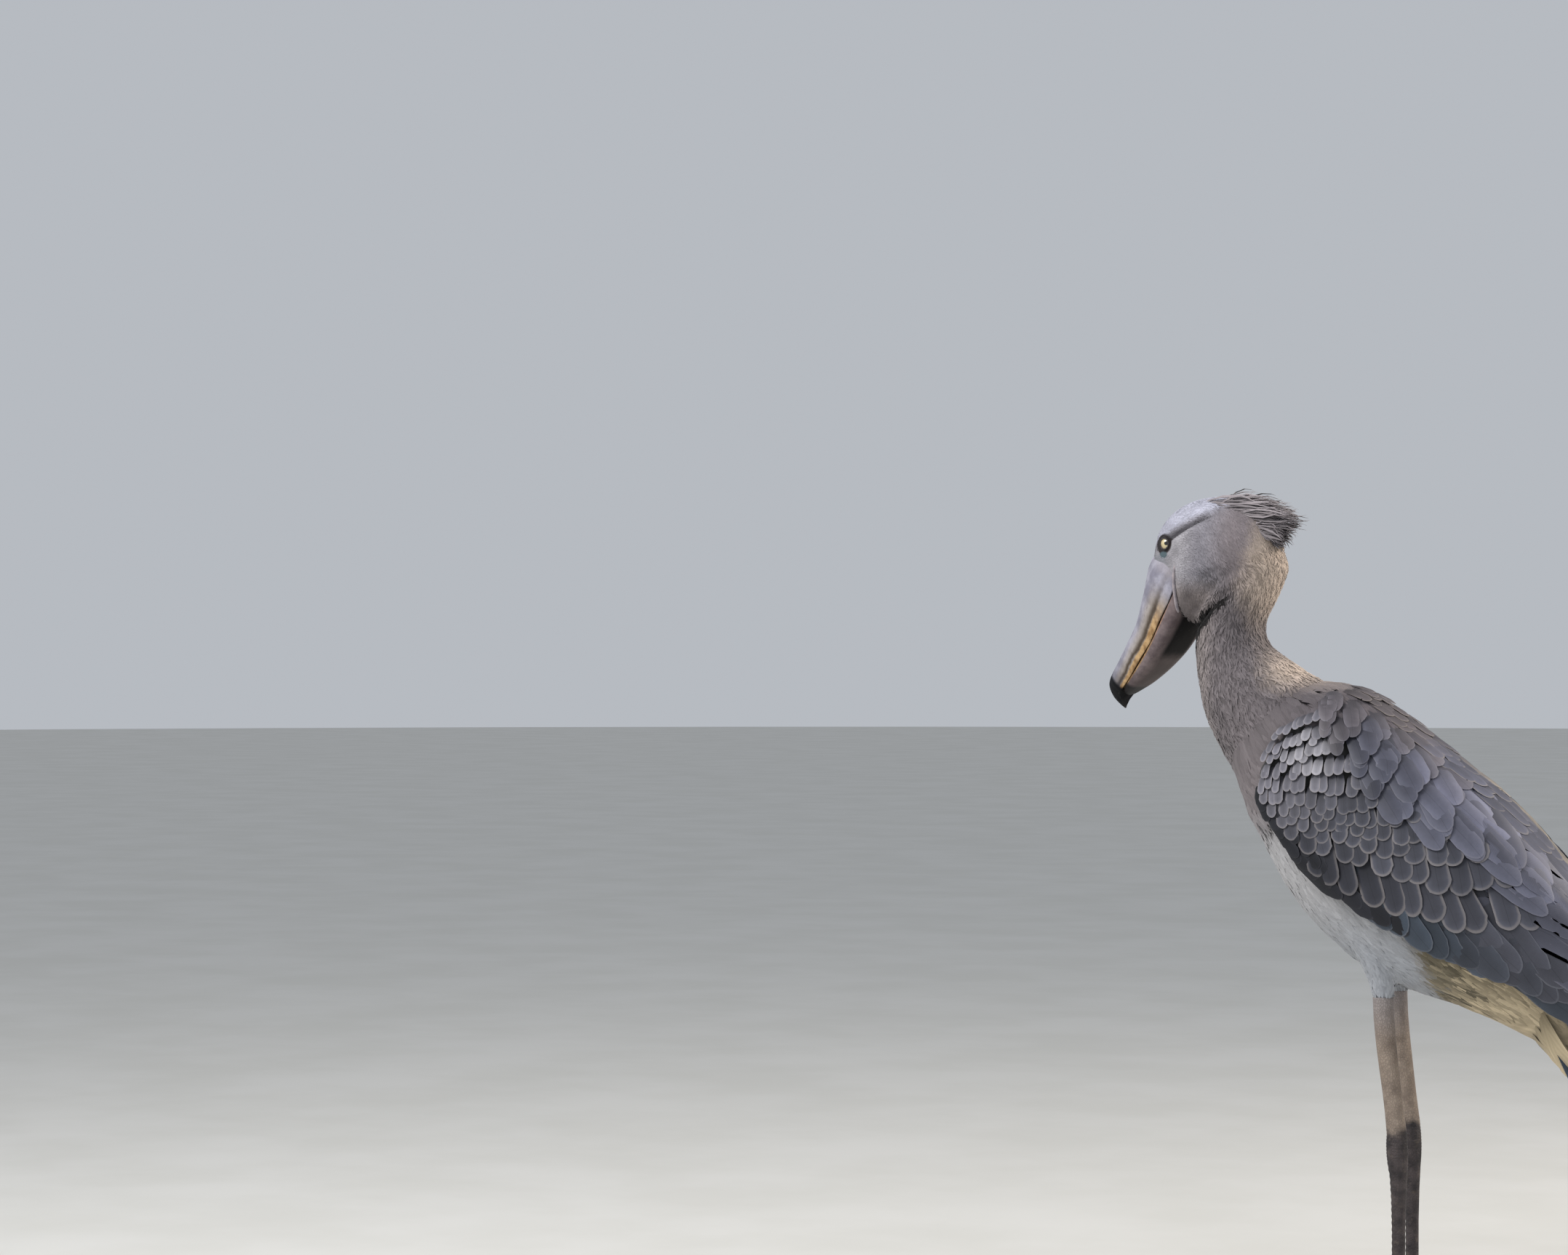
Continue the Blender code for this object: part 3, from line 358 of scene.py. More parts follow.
# ------------ finishes
@dataclass(frozen=True)
class CoatFinish:
    """Soft body plumage, or the skin under it, in the colour that its mesh carries."""

    name: str
    gloom: float = 1.0  # brightness beside the carried colour
    fringe: float = 0.15  # how much paler a tuft is round its rim
    roots: float = 0.3  # painted shade: how much darker a tuft is at its root, under the tufts over it
    on_tufts: bool = True

    def material(self) -> bpy.types.Material:
        """Colour from the mesh, with painted shade at each tuft's root and a paler rim."""
        g = Graph(self.name)
        soft = g.noise(38.0, 4.0)
        fine = g.noise(420.0, 2.0)
        shade = (0.86 + soft * 0.18 + fine * 0.12) * self.gloom
        if self.on_tufts:
            across, along = g.vane_uv("vane")
            off = abs(across * 2.0 - 1.0)
            tip = (along - 0.5).high(0.0) * 2.0
            reach = (off * off + tip * tip) ** 0.5
            # Painted shade: each tuft darkens towards its root, where the tufts over it shade it.
            root = 1.0 - along.between(0.05, 0.55)
            barbs = (off * 15.0 - along * 22.0).sine() * 0.5 + 0.5
            shade = shade * (1.0 - root * self.roots) * (0.9 + g.carried("tone") * 0.2)
            shade = shade * (1.0 + reach.between(0.6, 1.0) * self.fringe) * (0.94 + barbs * 0.12)
            g.bump(barbs, 0.3, 0.0003)
        else:
            g.bump(fine * 0.6 + soft * 0.4, 0.35, 0.001)
        colour = g.shaded(g.carried("plumage", "Color"), shade)
        return g.finish(colour, 0.9, Specular_IOR_Level=0.15, Sheen_Weight=0.1, Sheen_Roughness=0.5)


@dataclass(frozen=True)
class VaneFinish:
    """A firm feather in the colour that its mesh carries: thin pale rim, silky slope, painted shade towards the root,
    shaft and barbs.
    """

    name: str
    edge: Colour
    rim: float = 0.08  # share of the half width that is pale
    rim_strength: float = 0.6
    halo: float = 0.35  # how much paler it grows towards the rim
    rounded: float = 0.78  # share of the length past which the tip rounds off
    roughness: float = 0.55

    def material(self) -> bpy.types.Material:
        """Reads the feather's own map, its tone, its colour and its place."""
        g = Graph(self.name)
        across, along = g.vane_uv("vane")
        off = abs(across * 2.0 - 1.0)
        tone = g.carried("tone")
        worn = g.noise(190.0, 3.0)
        cloud = g.noise(24.0, 3.0)
        tip = (along - self.rounded).high(0.0) * (1.0 / (1.0 - self.rounded))
        reach = (off * off + tip * tip) ** 0.5 + (worn - 0.5) * 0.07
        rim = reach.between(1.0 - self.rim * 1.7, 1.0 - self.rim * 0.5) * along.between(0.3, 0.6)
        # Painted shade: the feather darkens towards its root, under the feathers that overlap it.
        deep = 1.0 - along.between(0.3, 0.8)
        barbs = (along * 330.0 - off * 70.0).sine() * 0.5 + 0.5
        shaft = 1.0 - off.between(0.0, 0.05)
        value = (0.74 + tone * 0.26) * (1.0 - deep * 0.4) * (1.0 + reach.between(0.25, 1.0) * self.halo)
        value = value * (0.93 + barbs * 0.12) * (0.82 + cloud * 0.36) * (1.0 - shaft * 0.22) * (0.9 + worn * 0.2)
        colour = g.shaded(g.carried("plumage", "Color"), value)
        colour = g.mix(rim * self.rim_strength * (0.55 + tone * 0.45), colour, self.edge)
        g.bump(barbs * 0.35 + shaft * 0.8 + worn * 0.3, 0.3, 0.0004)
        return g.finish(colour, self.roughness + (worn - 0.5) * 0.2, Specular_IOR_Level=0.28)


@dataclass(frozen=True)
class BillFinish:
    """Mottled horn of either half of the bill, read along (v) and round from the ridge (u)."""

    name: str
    upper: bool

    def material(self) -> bpy.types.Material:
        """Painted highlight along the ridge, painted shade in the groove and along the gape, blotched side, ochre
        cutting edge, dark nail, and painted shade under the lower half.
        """
        g = Graph(self.name)
        round_by, along = g.vane_uv("horn")
        blotch = g.noise(40.0, 5.0, (1.0, 1.0, 1.0), 0.65)
        grain = g.noise(170.0, 4.0, (1.0, 1.0, 0.4), 0.6)
        scratch = g.noise(620.0, 2.0, (1.0, 1.0, 0.14))
        wob = (blotch - 0.5) * 0.1
        straws = g.mix(grain.between(0.35, 0.65), paint(150, 116, 76), paint(198, 164, 118))
        if self.upper:
            side = round_by + wob
            front = along.between(0.16, 0.32)
            # Painted shade: a dark line along the gape, where the halves meet.
            seam_shade = side.between(0.8, 0.875) * (1.0 - side.between(0.885, 0.93))
            straw = (round_by + wob * 0.4 - along * 0.035).between(0.88, 0.915) * along.between(0.2, 0.42)
            # Painted shade in the groove beside the ridge.
            groove = side.between(0.15, 0.21) * (1.0 - side.between(0.22, 0.33))
            dusk = (along + wob * 0.5).between(0.76, 0.89) * (1.0 - straw * 0.8)
            # In the upper half this mask is the dark nail's own colour.
            black_and_shade = (along + wob * 0.2).between(0.862, 0.888)
            horn = g.mix(blotch.between(0.35, 0.7), paint(126, 124, 137), paint(164, 162, 174))
            colour = g.layered(horn, (
                (side.between(0.58, 0.86) * front * 0.55, paint(158, 144, 120)),
                (seam_shade * (0.35 + front * 0.55), paint(66, 54, 42)),
                (straw * 0.95, straws),
                (groove * 0.55, paint(84, 78, 84)),
                # Painted highlight along the ridge.
                ((1.0 - side.between(0.12, 0.2)) * 0.75, paint(172, 166, 182)),
                ((1.0 - (along + wob).between(0.085, 0.16)) * 0.5, paint(164, 158, 164)),
                (dusk * 0.6, paint(66, 66, 76)),
                (black_and_shade, g.mix(blotch.between(0.45, 0.75), paint(11, 12, 16), paint(26, 28, 34)))))
        else:
            lip = round_by + wob * 0.5
            # Painted shade: very dark under the lower half towards its base, where it faces the throat.
            black_and_shade = (round_by + wob * 0.8).between(0.56, 0.68) * (1.0 - (along + wob * 0.5).between(0.56, 0.66))
            horn = g.mix(blotch.between(0.35, 0.7), paint(98, 86, 88), paint(138, 124, 124))
            colour = g.layered(horn, (
                ((1.0 - lip.between(0.05, 0.16)) * along.between(0.15, 0.45) * 0.7, paint(176, 134, 104)),
                ((1.0 - lip.between(0.1, 0.22)) * along.between(0.45, 0.7) * 0.9, straws),
                # Painted shade on the underside of the lower half.
                ((round_by + wob).between(0.34, 0.8) * 0.85, paint(62, 53, 52)),
                (black_and_shade, paint(20, 18, 19)),
                ((along + wob * 0.2).between(0.885, 0.925) * 0.95, paint(19, 19, 22))))
        spots = g.noise(230.0, 3.0).between(0.62, 0.74)
        colour = g.mix(spots * 0.3, colour, paint(70, 64, 62))
        colour = g.shaded(colour, 0.82 + grain * 0.3 + (scratch - 0.5) * 0.16)
        g.bump(grain * 0.5 + scratch * 0.5, 0.35, 0.0006)
        return g.finish(colour, 0.44 + grain * 0.16 + black_and_shade * 0.22, Specular_IOR_Level=0.16)


@dataclass(frozen=True)
class EyeFinish:
    """Pale iris, dark pupil and a wet surface, read from the angle off the gaze."""

    name: str
    pupil: float = 0.235  # half angle in radians

    def material(self) -> bpy.types.Material:
        """Rings round the gaze."""
        g = Graph(self.name)
        off = g.carried("off_gaze")
        rays = (g.carried("round_gaze") * 38.0).sine() * 0.5 + 0.5
        iris = g.mix(off.between(0.34, 1.0), paint(206, 190, 146), paint(170, 146, 104))
        colour = g.layered(iris, (
            (rays * 0.2, paint(214, 204, 168)),
            (off.between(1.05, 1.2), paint(30, 26, 25)),
            (1.0 - off.between(self.pupil - 0.03, self.pupil + 0.03), (0.004, 0.004, 0.005))))
        return g.finish(colour, 0.1, Specular_IOR_Level=0.6, Coat_Weight=1.0, Coat_Roughness=0.02)


@dataclass(frozen=True)
class LegFinish:
    """Bare scaly skin: dusty above the ankle, dark and wrinkled below it."""

    name: str
    knee: float  # height of the ankle
    top: float  # height where the feathers end

    def material(self) -> bpy.types.Material:
        """Scales, dust and dark creases by height."""
        g = Graph(self.name)
        z = g.wire("ShaderNodeSeparateXYZ", None, {"Vector": g.place()}, 2)
        wet = g.noise(55.0, 4.0)
        pits = g.noise(500.0, 3.0)
        plate = g.cells(330.0, (1.0, 1.0, 0.8)).between(0.02, 0.22)
        dusty = (z + (wet - 0.5) * 0.03).between(self.knee + 0.016, self.knee + 0.034)
        high = (z + (wet - 0.5) * 0.05).between(self.top - 0.075, self.top)
        bare = g.mix(wet.between(0.2, 0.8), paint(122, 108, 97), paint(156, 141, 127))
        bare = g.mix(high * 0.6, bare, paint(146, 142, 146))
        mud = g.noise(90.0, 4.0).between(0.56, 0.72) * (1.0 - dusty)
        dark = g.mix(wet.between(0.3, 0.7), paint(40, 36, 38), paint(76, 68, 68))
        colour = g.layered(dark, (
            (dusty, bare), ((1.0 - plate) * 0.22, paint(52, 46, 46)), (mud * 0.35, paint(112, 100, 88))))
        colour = g.shaded(colour, 0.85 + pits * 0.3)
        g.bump(plate * 0.7 + pits * 0.3, 0.65, 0.0009)
        return g.finish(colour, 0.62 + (pits - 0.5) * 0.2, Specular_IOR_Level=0.35)


@dataclass(frozen=True)
class PlainFinish:
    """One worn colour with grain, for claws, lids and the floor."""

    name: str
    colour: Colour
    second: Colour
    scale: float
    roughness: float
    depth: float = 0.0003

    def material(self) -> bpy.types.Material:
        """Two colours mixed by noise, with a bump."""
        g = Graph(self.name)
        worn = g.noise(self.scale, 4.0)
        fine = g.noise(self.scale * 6.0, 2.0)
        colour = g.mix(worn.between(0.3, 0.7), self.colour, self.second)
        g.bump(worn * 0.5 + fine * 0.5, 0.4, self.depth)
        return g.finish(colour, self.roughness + (fine - 0.5) * 0.1)


# ------------ modelling helpers
def worked_on(piece: Piece) -> None:
    """Makes a piece the only one that operators act on."""
    bpy.ops.object.select_all(action="DESELECT")
    piece.select_set(True)
    bpy.context.view_layer.objects.active = piece


def applied(piece: Piece, kind: str, **settings: object) -> None:
    """Adds a modifier and applies it.

    Args:
        piece: The piece.
        kind: The modifier's type.
        **settings: Its properties.
    """
    worked_on(piece)
    modifier = piece.modifiers.new(kind.lower(), kind)
    for name, value in settings.items():
        setattr(modifier, name, value)
    bpy.ops.object.modifier_apply(modifier=modifier.name)


def new_piece(name: str, data: bpy.types.ID) -> Piece:
    """A piece of the scene for a mesh, a camera or a light."""
    piece = bpy.data.objects.new(name, data)
    bpy.context.scene.collection.objects.link(piece)
    return piece


def flesh_of(nodes: tuple | list) -> list[Piece]:
    """Copies of solids, to be made into skin."""
    return [new_piece(node + "_flesh", bpy.data.objects[node].data.copy()) for node in nodes]


def joined(name: str, parts: list[Piece]) -> Piece:
    """Several pieces made one, which takes a new name."""
    worked_on(parts[0])
    for part in parts:
        part.select_set(True)
    bpy.ops.object.join()
    parts[0].name = name
    return parts[0]


def outward(piece: Piece, merged: bool = False) -> None:
    """Turns all faces outwards, after merging points that coincide where that is asked."""
    worked_on(piece)
    bpy.ops.object.mode_set(mode="EDIT")
    bpy.ops.mesh.select_all(action="SELECT")
    if merged:
        bpy.ops.mesh.remove_doubles(threshold=0.00001)
    bpy.ops.mesh.normals_make_consistent(inside=False)
    bpy.ops.object.mode_set(mode="OBJECT")


def from_rings(name: str, rings: Array, capped: bool = True) -> Piece:
    """A closed body through rings that have the same number of points.

    Args:
        name: The piece's name.
        rings: Points, as rings by points by three.
        capped: Whether both ends are closed.

    Returns:
        The piece, with outward faces.
    """
    count, around = rings.shape[:2]
    k = np.arange(around)
    n = (k + 1) % around
    quads = [np.stack([i * around + k, i * around + n, (i + 1) * around + n, (i + 1) * around + k], 1)
             for i in range(count - 1)]
    faces = np.concatenate(quads).tolist()
    if capped:
        faces += [k[::-1].tolist(), ((count - 1) * around + k).tolist()]
    mesh = bpy.data.meshes.new(name)
    mesh.from_pydata(rings.reshape(-1, 3).tolist(), [], faces)
    piece = new_piece(name, mesh)
    outward(piece)
    mesh.shade_smooth()
    return piece


def oval_ring(centre: Vector, up: Vector, side: Vector, depth: float, half: float, count: int,
              power: float = OVAL) -> Array:
    """A ring of points round a centre.

    Args:
        centre: Middle of the ring.
        up: Way of its depth.
        side: Way of its width.
        depth: Half depth.
        half: Half width.
        count: How many points.
        power: 2 is an ellipse, more is squarer.

    Returns:
        count points.
    """
    turn = np.linspace(0, 2 * math.pi, count, endpoint=False)
    c, s = np.cos(turn), np.sin(turn)
    rise = np.sign(c) * np.abs(c) ** (2 / power) * depth
    out = np.sign(s) * np.abs(s) ** (2 / power) * half
    return np.array(centre) + rise[:, None] * np.array(up) + out[:, None] * np.array(side)


def read(items: object, name: str, width: int, kind: type) -> Array:
    """One property of a mesh's points, corners or faces, as rows of a width."""
    flat = np.empty(len(items) * width, kind)
    items.foreach_get(name, flat)
    return flat.reshape(-1, width)


def write(items: object, name: str, values: Array) -> None:
    """Sets one property of a mesh's points or corners."""
    items.foreach_set(name, values.astype(np.float32).ravel())


def points_of(mesh: bpy.types.Mesh) -> Array:
    """A mesh's points as an array."""
    return read(mesh.vertices, "co", 3, np.float32).astype(float)


def normals_of(mesh: bpy.types.Mesh) -> Array:
    """The smooth normals at a mesh's points."""
    return read(mesh.vertex_normals, "vector", 3, np.float32).astype(float)


def put_points(mesh: bpy.types.Mesh, points: Array) -> None:
    """Moves a mesh's points."""
    write(mesh.vertices, "co", points)
    mesh.update()


def put_colour(mesh: bpy.types.Mesh, colours: Array) -> None:
    """Gives a mesh the plumage's colour at each point."""
    layer = mesh.color_attributes.new("plumage", "FLOAT_COLOR", "POINT")
    write(layer.data, "color", np.concatenate([colours, np.ones((len(colours), 1))], 1))


def put_number(mesh: bpy.types.Mesh, name: str, values: Array) -> None:
    """Gives a mesh a number at each point."""
    write(mesh.attributes.new(name, "FLOAT", "POINT").data, "value", values)


def placed(piece: Piece, finish: object, slot: str, *nodes: str) -> None:
    """Dresses a finished piece and ties it to the frame.

    Args:
        piece: The piece.
        finish: Its finish, whose material is made once and shared.
        slot: The record's material slot, which is not used.
        *nodes: The solids that it stands for.
    """
    if finish not in MATERIALS:
        MATERIALS[finish] = finish.material()
    piece.data.materials.clear()
    piece.data.materials.append(MATERIALS[finish])
    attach(piece, "root")
    if nodes:
        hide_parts(*nodes)
    LOG.info("%s: %d faces", piece.name, len(piece.data.polygons))


# ------------ plumage
def clumps(points: Array, size: float, seed: int) -> Array:
    """A soft random field over space, for what neighbouring feathers share.

    Args:
        points: Places.
        size: About how far apart its waves are, in metres.
        seed: Picks the field.

    Returns:
        Numbers about -1 to 1.
    """
    draw = np.random.default_rng(seed)
    ways = unit(draw.normal(size=(9, 3))) * (2 * math.pi / size) * draw.uniform(0.6, 1.6, (9, 1))
    return np.sin(points @ ways.T + draw.uniform(0, 6.28, 9)).sum(1) / 4.0


def over(base: Array, *layers: tuple) -> Array:
    """Colours under layers of others, each given as its colour and its shares."""
    for colour, share in layers:
        base = base + (np.array(colour) - base) * np.broadcast_to(share, len(base))[:, None]
    return base


def brow_line(ahead: Array) -> Array:
    """Height of the furrow between crown and cheek at places level ahead of the eyes."""
    return 0.0105 + (-ahead - 0.016) * 0.49 - np.maximum(-ahead - 0.05, 0.0) * 0.1


def jaw_crease(ahead: Array) -> Array:
    """Height of the crease between jaw and throat at places level ahead of the eyes."""
    return -0.1 - (ahead + 0.055) * 0.69


@dataclass
class Hues:
    """Where each colour of the plumage lies, with painted rim light down the back of the neck and head, and painted
    shade in the brow furrow and the jaw's crease.
    """

    stance: Stance
    crown: Colour = paint(177, 177, 191)
    cheek: Colour = paint(131, 128, 135)
    pale_cheek: Colour = paint(154, 151, 156)
    face: Colour = paint(126, 130, 138)
    bare: Colour = paint(40, 35, 36)
    teal: Colour = paint(80, 96, 102)
    nape: Colour = paint(124, 116, 119)
    neck: Colour = paint(103, 97, 99)
    throat: Colour = paint(126, 118, 117)
    # Painted light: the warm rim light down the back of the neck and head.
    hind: Colour = paint(196, 178, 162)
    breast: Colour = paint(118, 111, 113)
    belly: Colour = paint(168, 167, 169)
    flank: Colour = paint(112, 105, 89)
    vent: Colour = paint(186, 171, 144)
    mantle: Colour = paint(94, 88, 92)
    thigh: Colour = paint(160, 163, 169)
    # Painted shade for the crease under the jaw.
    black_and_shade: Colour = paint(22, 20, 20)

    def at(self, points: Array) -> Array:
        """Colours for many points.

        Args:
            points: Places in the model's frame.

        Returns:
            Linear colours.
        """
        ahead, _, up = self.stance.head_coordinates(points).T
        along, _, across = self.stance.trunk_coordinates(points).T
        x, z = points[:, 0] - self.stance.feet.x, points[:, 2]
        mottle = clumps(points, 0.022, 5)

        behind = step(x + 0.25 * (z - 0.48) + 0.006 * mottle, 0.03, 0.062)
        streaks = clumps(points * (1.0, 2.5, 2.5), 0.03, 14)
        body = over(np.broadcast_to(self.belly, points.shape),
                    (self.breast, step(z, 0.62, 0.72)), (self.flank, behind * step(z, 0.64, 0.58)),
                    (self.vent, step(along + 0.03 * streaks, -0.25, -0.13) * behind))
        body = body * (1 + 0.22 * streaks * behind)[:, None]
        # Painted rim light on the back of the neck.
        hind = step(x - 0.3 * (0.95 - z), -0.222, -0.168) * step(z, 0.82, 0.86)
        neck = over(np.broadcast_to(self.neck, points.shape),
                    (self.throat, step(ahead, -0.1, -0.06)), (self.hind, hind * 0.85))
        body = over(body, (self.mantle, step(across, 0.535, 0.575)), (self.thigh, step(z, 0.6, 0.48) * (1 - behind)),
                    (neck, step(self.stance.up_neck(points), -0.085, 0.01)))
        gap = up - brow_line(ahead)
        head = over(np.broadcast_to(self.cheek, points.shape),
                    (self.crown, step(gap, 0.006, 0.018)),
                    (self.nape, step(ahead, -0.065, -0.115) * step(gap, 0.03, 0.0)),
                    (self.pale_cheek, step(ahead, -0.06, -0.03) * step(gap, 0.006, -0.004)),
                    # Painted rim light low on the back of the head.
                    (self.hind, step(ahead + 0.35 * up, -0.118, -0.15) * step(up, 0.015, -0.01) * 0.55),
                    (self.face, step(ahead, -0.012, 0.002) * step(up, -0.006, -0.016) * 0.6))
        # Painted shade in the brow furrow under the crown, and a painted highlight along the top of the cheek below
        # it.
        run = step(ahead, -0.088, -0.06) * step(ahead, 0.002, -0.006)
        head = head * (1 - 0.42 * bell(gap - 0.0035, 0.0045) * run)[:, None]
        head = head * (1 + 0.14 * bell(gap + 0.005, 0.003) * run)[:, None]
        blotch = 0.2 + 0.45 * step(clumps(points, 0.012, 9), -0.35, 0.35)
        head = head * (1 - bell(ahead + 0.085, 0.03) * bell(up + 0.045, 0.026) * blotch)[:, None]
        bare = np.hypot((ahead - 0.002) / 0.018, (up - 0.0025) / 0.0138)
        teal = ((ahead - 0.001) / 0.008) ** 2 + ((up + 0.0115) / 0.0042) ** 2
        head = over(head, (self.bare, step(bare, 1.08, 0.9)), (self.teal, step(teal, 1.6, 0.6)))
        colour = over(body, (head, step(ahead, -0.155, -0.125) * step(z, 0.955, 0.985)))
        # Painted shade: very dark in the crease between jaw and throat.
        below = jaw_crease(ahead) - up
        wide = np.interp(ahead, (-0.115, -0.09, -0.06, -0.04), (0.002, 0.005, 0.014, 0.04))
        above = np.interp(ahead, (-0.115, -0.09, -0.06, -0.04), (0.001, 0.003, 0.008, 0.012))
        crease = step(below, -above - 0.003, -above) * step(below, wide + 0.004, wide)
        colour = over(colour, (self.black_and_shade, crease * step(ahead, -0.122, -0.098) * step(z, 0.84, 0.87)))
        return colour * (1 + 0.1 * mottle * step(z, 0.6, 0.72))[:, None]


@dataclass
class Lie:
    """Which way the plumage points: along a line from the brow over the nape and down to the tail."""

    stance: Stance

    def __post_init__(self) -> None:
        """Lays the line out."""
        s = self.stance
        down_neck = ((-0.236, 0.955), (-0.2385, 0.884), (-0.214, 0.824), (-0.16, 0.76))
        points = [s.in_head(0.06, 0.0, -0.005), s.in_head(-0.085, 0.0, -0.01)]
        points += [s.feet + Vector((x, 0.0, z)) for x, z in down_neck]
        points += [s.on_trunk(along, 0.0, across) for along, across in
                   ((-0.5, 0.5), (-0.3, 0.485), (-0.1, 0.475), (0.15, 0.43))]
        self.line = np.array(points)

    def _stretches(self, points: Array) -> Iterator[tuple]:
        """For each stretch of the line: how far along the line places lie, its way, and their offsets and gaps."""
        reach = 0.0
        for a, b in zip(self.line, self.line[1:]):
            d = b - a
            long = np.linalg.norm(d)
            t = np.clip(((points - a) @ d) / (d @ d), 0, 1)
            off = points - (a + t[:, None] * d)
            yield reach + t * long, d / long, off, np.linalg.norm(off, axis=1)
            reach += long

    def unwrap(self, points: Array) -> Array:
        """Where places lie on an unwrap of the skin: round the line and along it, 0 to 1."""
        best, along, turn = np.full(len(points), np.inf), np.zeros(len(points)), np.zeros(len(points))
        side = np.array((0.0, 1.0, 0.0))
        for reach, d, off, gap in self._stretches(points):
            nearer = gap < best
            best[nearer], along[nearer] = gap[nearer], reach[nearer]
            turn[nearer] = np.arctan2(off @ side, off @ np.cross(d, side))[nearer]
        whole = np.linalg.norm(np.diff(self.line, axis=0), axis=1).sum()
        return np.stack([turn / (2 * math.pi) + 0.5, along / whole], 1)

    def at(self, points: Array, normals: Array) -> Array:
        """Directions for many places on the skin.

        Args:
            points: Places on the skin.
            normals: Ways out of it.

        Returns:
            Unit directions that lie in the skin.
        """
        total, weight = np.zeros_like(points), np.zeros(len(points))
        for _, d, _, gap in self._stretches(points):
            w = 1.0 / (gap**6 + 1e-12)
            total += w[:, None] * d
            weight += w
        way = total / weight[:, None]
        along, _, across = self.stance.trunk_coordinates(points).T
        leg = step(across - 0.25 * along, 0.475, 0.435) * step(points[:, 2], 0.56, 0.5)
        leg = leg * step(np.abs(points[:, 0] - self.stance.feet.x), 0.065, 0.04)
        way = way * (1 - leg[:, None]) + leg[:, None] * np.array((0.12, 0.0, -1.0))
        way -= (way * normals).sum(1)[:, None] * normals
        return unit(way)


# ------------ skin
@dataclass
class Skin:
    """One skin over trunk, neck, head and thighs, inside the solids by the plumage's depth."""

    stance: Stance
    hues: Hues
    voxel: float = 0.0038
    head_depth: float = 0.0022
    neck_depth: float = 0.0034
    body_depth: float = 0.0058
    # Skull sections: level distance forward of the eyes, top, bottom and half width.
    skull: tuple = (
        (0.031, 0.006, -0.026, 0.017), (0.026, 0.021, -0.05, 0.025), (0.012, 0.04, -0.074, 0.033), (-0.006, 0.053,
        -0.09, 0.04), (-0.03, 0.0625, -0.095, 0.0455), (-0.06, 0.067, -0.085, 0.05), (-0.09, 0.065, -0.072, 0.051),
        (-0.118, 0.058, -0.056, 0.047), (-0.14, 0.044, -0.04, 0.037), (-0.153, 0.024, -0.018, 0.021),
    )
    # Root of the tail: place along the trunk axis, top, bottom and half width across it.
    rump: tuple = (
        (-0.11, 0.555, 0.414, 0.052), (-0.066, 0.528, 0.414, 0.045), (-0.04, 0.5, 0.415, 0.038), (-0.015, 0.472,
        0.416, 0.029), (0.008, 0.45, 0.418, 0.019), (0.026, 0.437, 0.421, 0.009),
    )
    # Feathered base of the jaw: how far its front edge lies behind the gape's fold, and its swelling.
    jowl: tuple = ((-0.055, 0.8), (-0.042, 0.95), (-0.026, 1.0), (-0.01, 1.0), (-0.003, 0.99), (0.0, 0.94))

    def _skull(self) -> Piece:
        """Crown, cheeks and nape."""
        s = self.stance
        rings = [oval_ring(s.in_head(ahead, 0.0, (top + bottom) / 2), s.rise, s.left, (top - bottom) / 2, half, 56,
                           2.15) for ahead, top, bottom, half in smooth_rows(self.skull, 44)]
        return from_rings("skull", np.array(rings))

    def _rump(self) -> Piece:
        """The short root of the tail."""
        s = self.stance
        side = Vector((0.0, 1.0, 0.0))
        rings = [oval_ring(s.on_trunk(along, 0.0, (top + bottom) / 2), s.trunk_up, side, (top - bottom) / 2, half, 40)
                 for along, top, bottom, half in smooth_rows(self.rump, 20)]
        return from_rings("rump", np.array(rings))

    def _jowl(self) -> Piece:
        """The base of the jaw, whose slanting front edge is the fold of the gape."""
        rings = []
        for lag, swell in self.jowl:
            flat = oval_ring(Vector((0, 0, -0.0505)), Vector((0, 0, 1)), Vector((0, 1, 0)), 0.034 * swell,
                             0.049 * swell, 56, 2.6)
            rings.append([self.stance.in_bill(lag + 0.002 - (0.028 + up) * 1.3, y, up) for _, y, up in flat])
        return from_rings("jowl", np.array(rings))

    def _sculpt(self, points: Array, normals: Array) -> Array:
        """Brow, furrow, cheek, crease under the jaw and a proud mantle.

        Args:
            points: The skin's points.
            normals: Ways out of it.

        Returns:
            The moved points.
        """
        ahead, left, up = self.stance.head_coordinates(points).T
        along, _, across = self.stance.trunk_coordinates(points).T
        beside = step(np.abs(left), 0.01, 0.022)
        near = step(ahead, -0.13, -0.09) * step(up, -0.1, -0.07)
        gap = up - brow_line(ahead)
        run = step(ahead, -0.095, -0.06) * step(ahead, 0.0, -0.009) * beside
        lift = bell(gap - 0.0085, 0.006) * 0.0026 + bell(gap + 0.012, 0.012) * 0.002
        lift = (lift - bell(gap, 0.0026) * 0.0046) * run * near
        lift = lift - np.exp(-(((ahead - 0.024) / 0.01) ** 2 + ((up + 0.002) / 0.013) ** 2)) * 0.002 * near
        fold = bell(up - jaw_crease(ahead), 0.007)
        fold = fold * np.interp(ahead, (-0.16, -0.13, -0.1, -0.06, -0.04), (0.0, 0.002, 0.006, 0.01, 0.01))
        fold = fold * beside * step(ahead, -0.015, -0.035) * step(points[:, 2], 0.86, 0.89)
        proud = step(across, 0.555, 0.6) * step(along, -0.34, -0.46) * step(self.stance.up_neck(points), 0.0, -0.03)
        nape = bell(points[:, 2] - 1.0, 0.024) * step(ahead, -0.12, -0.15) * 0.007
        return points + normals * (lift - fold + proud * 0.004 + nape)[:, None]

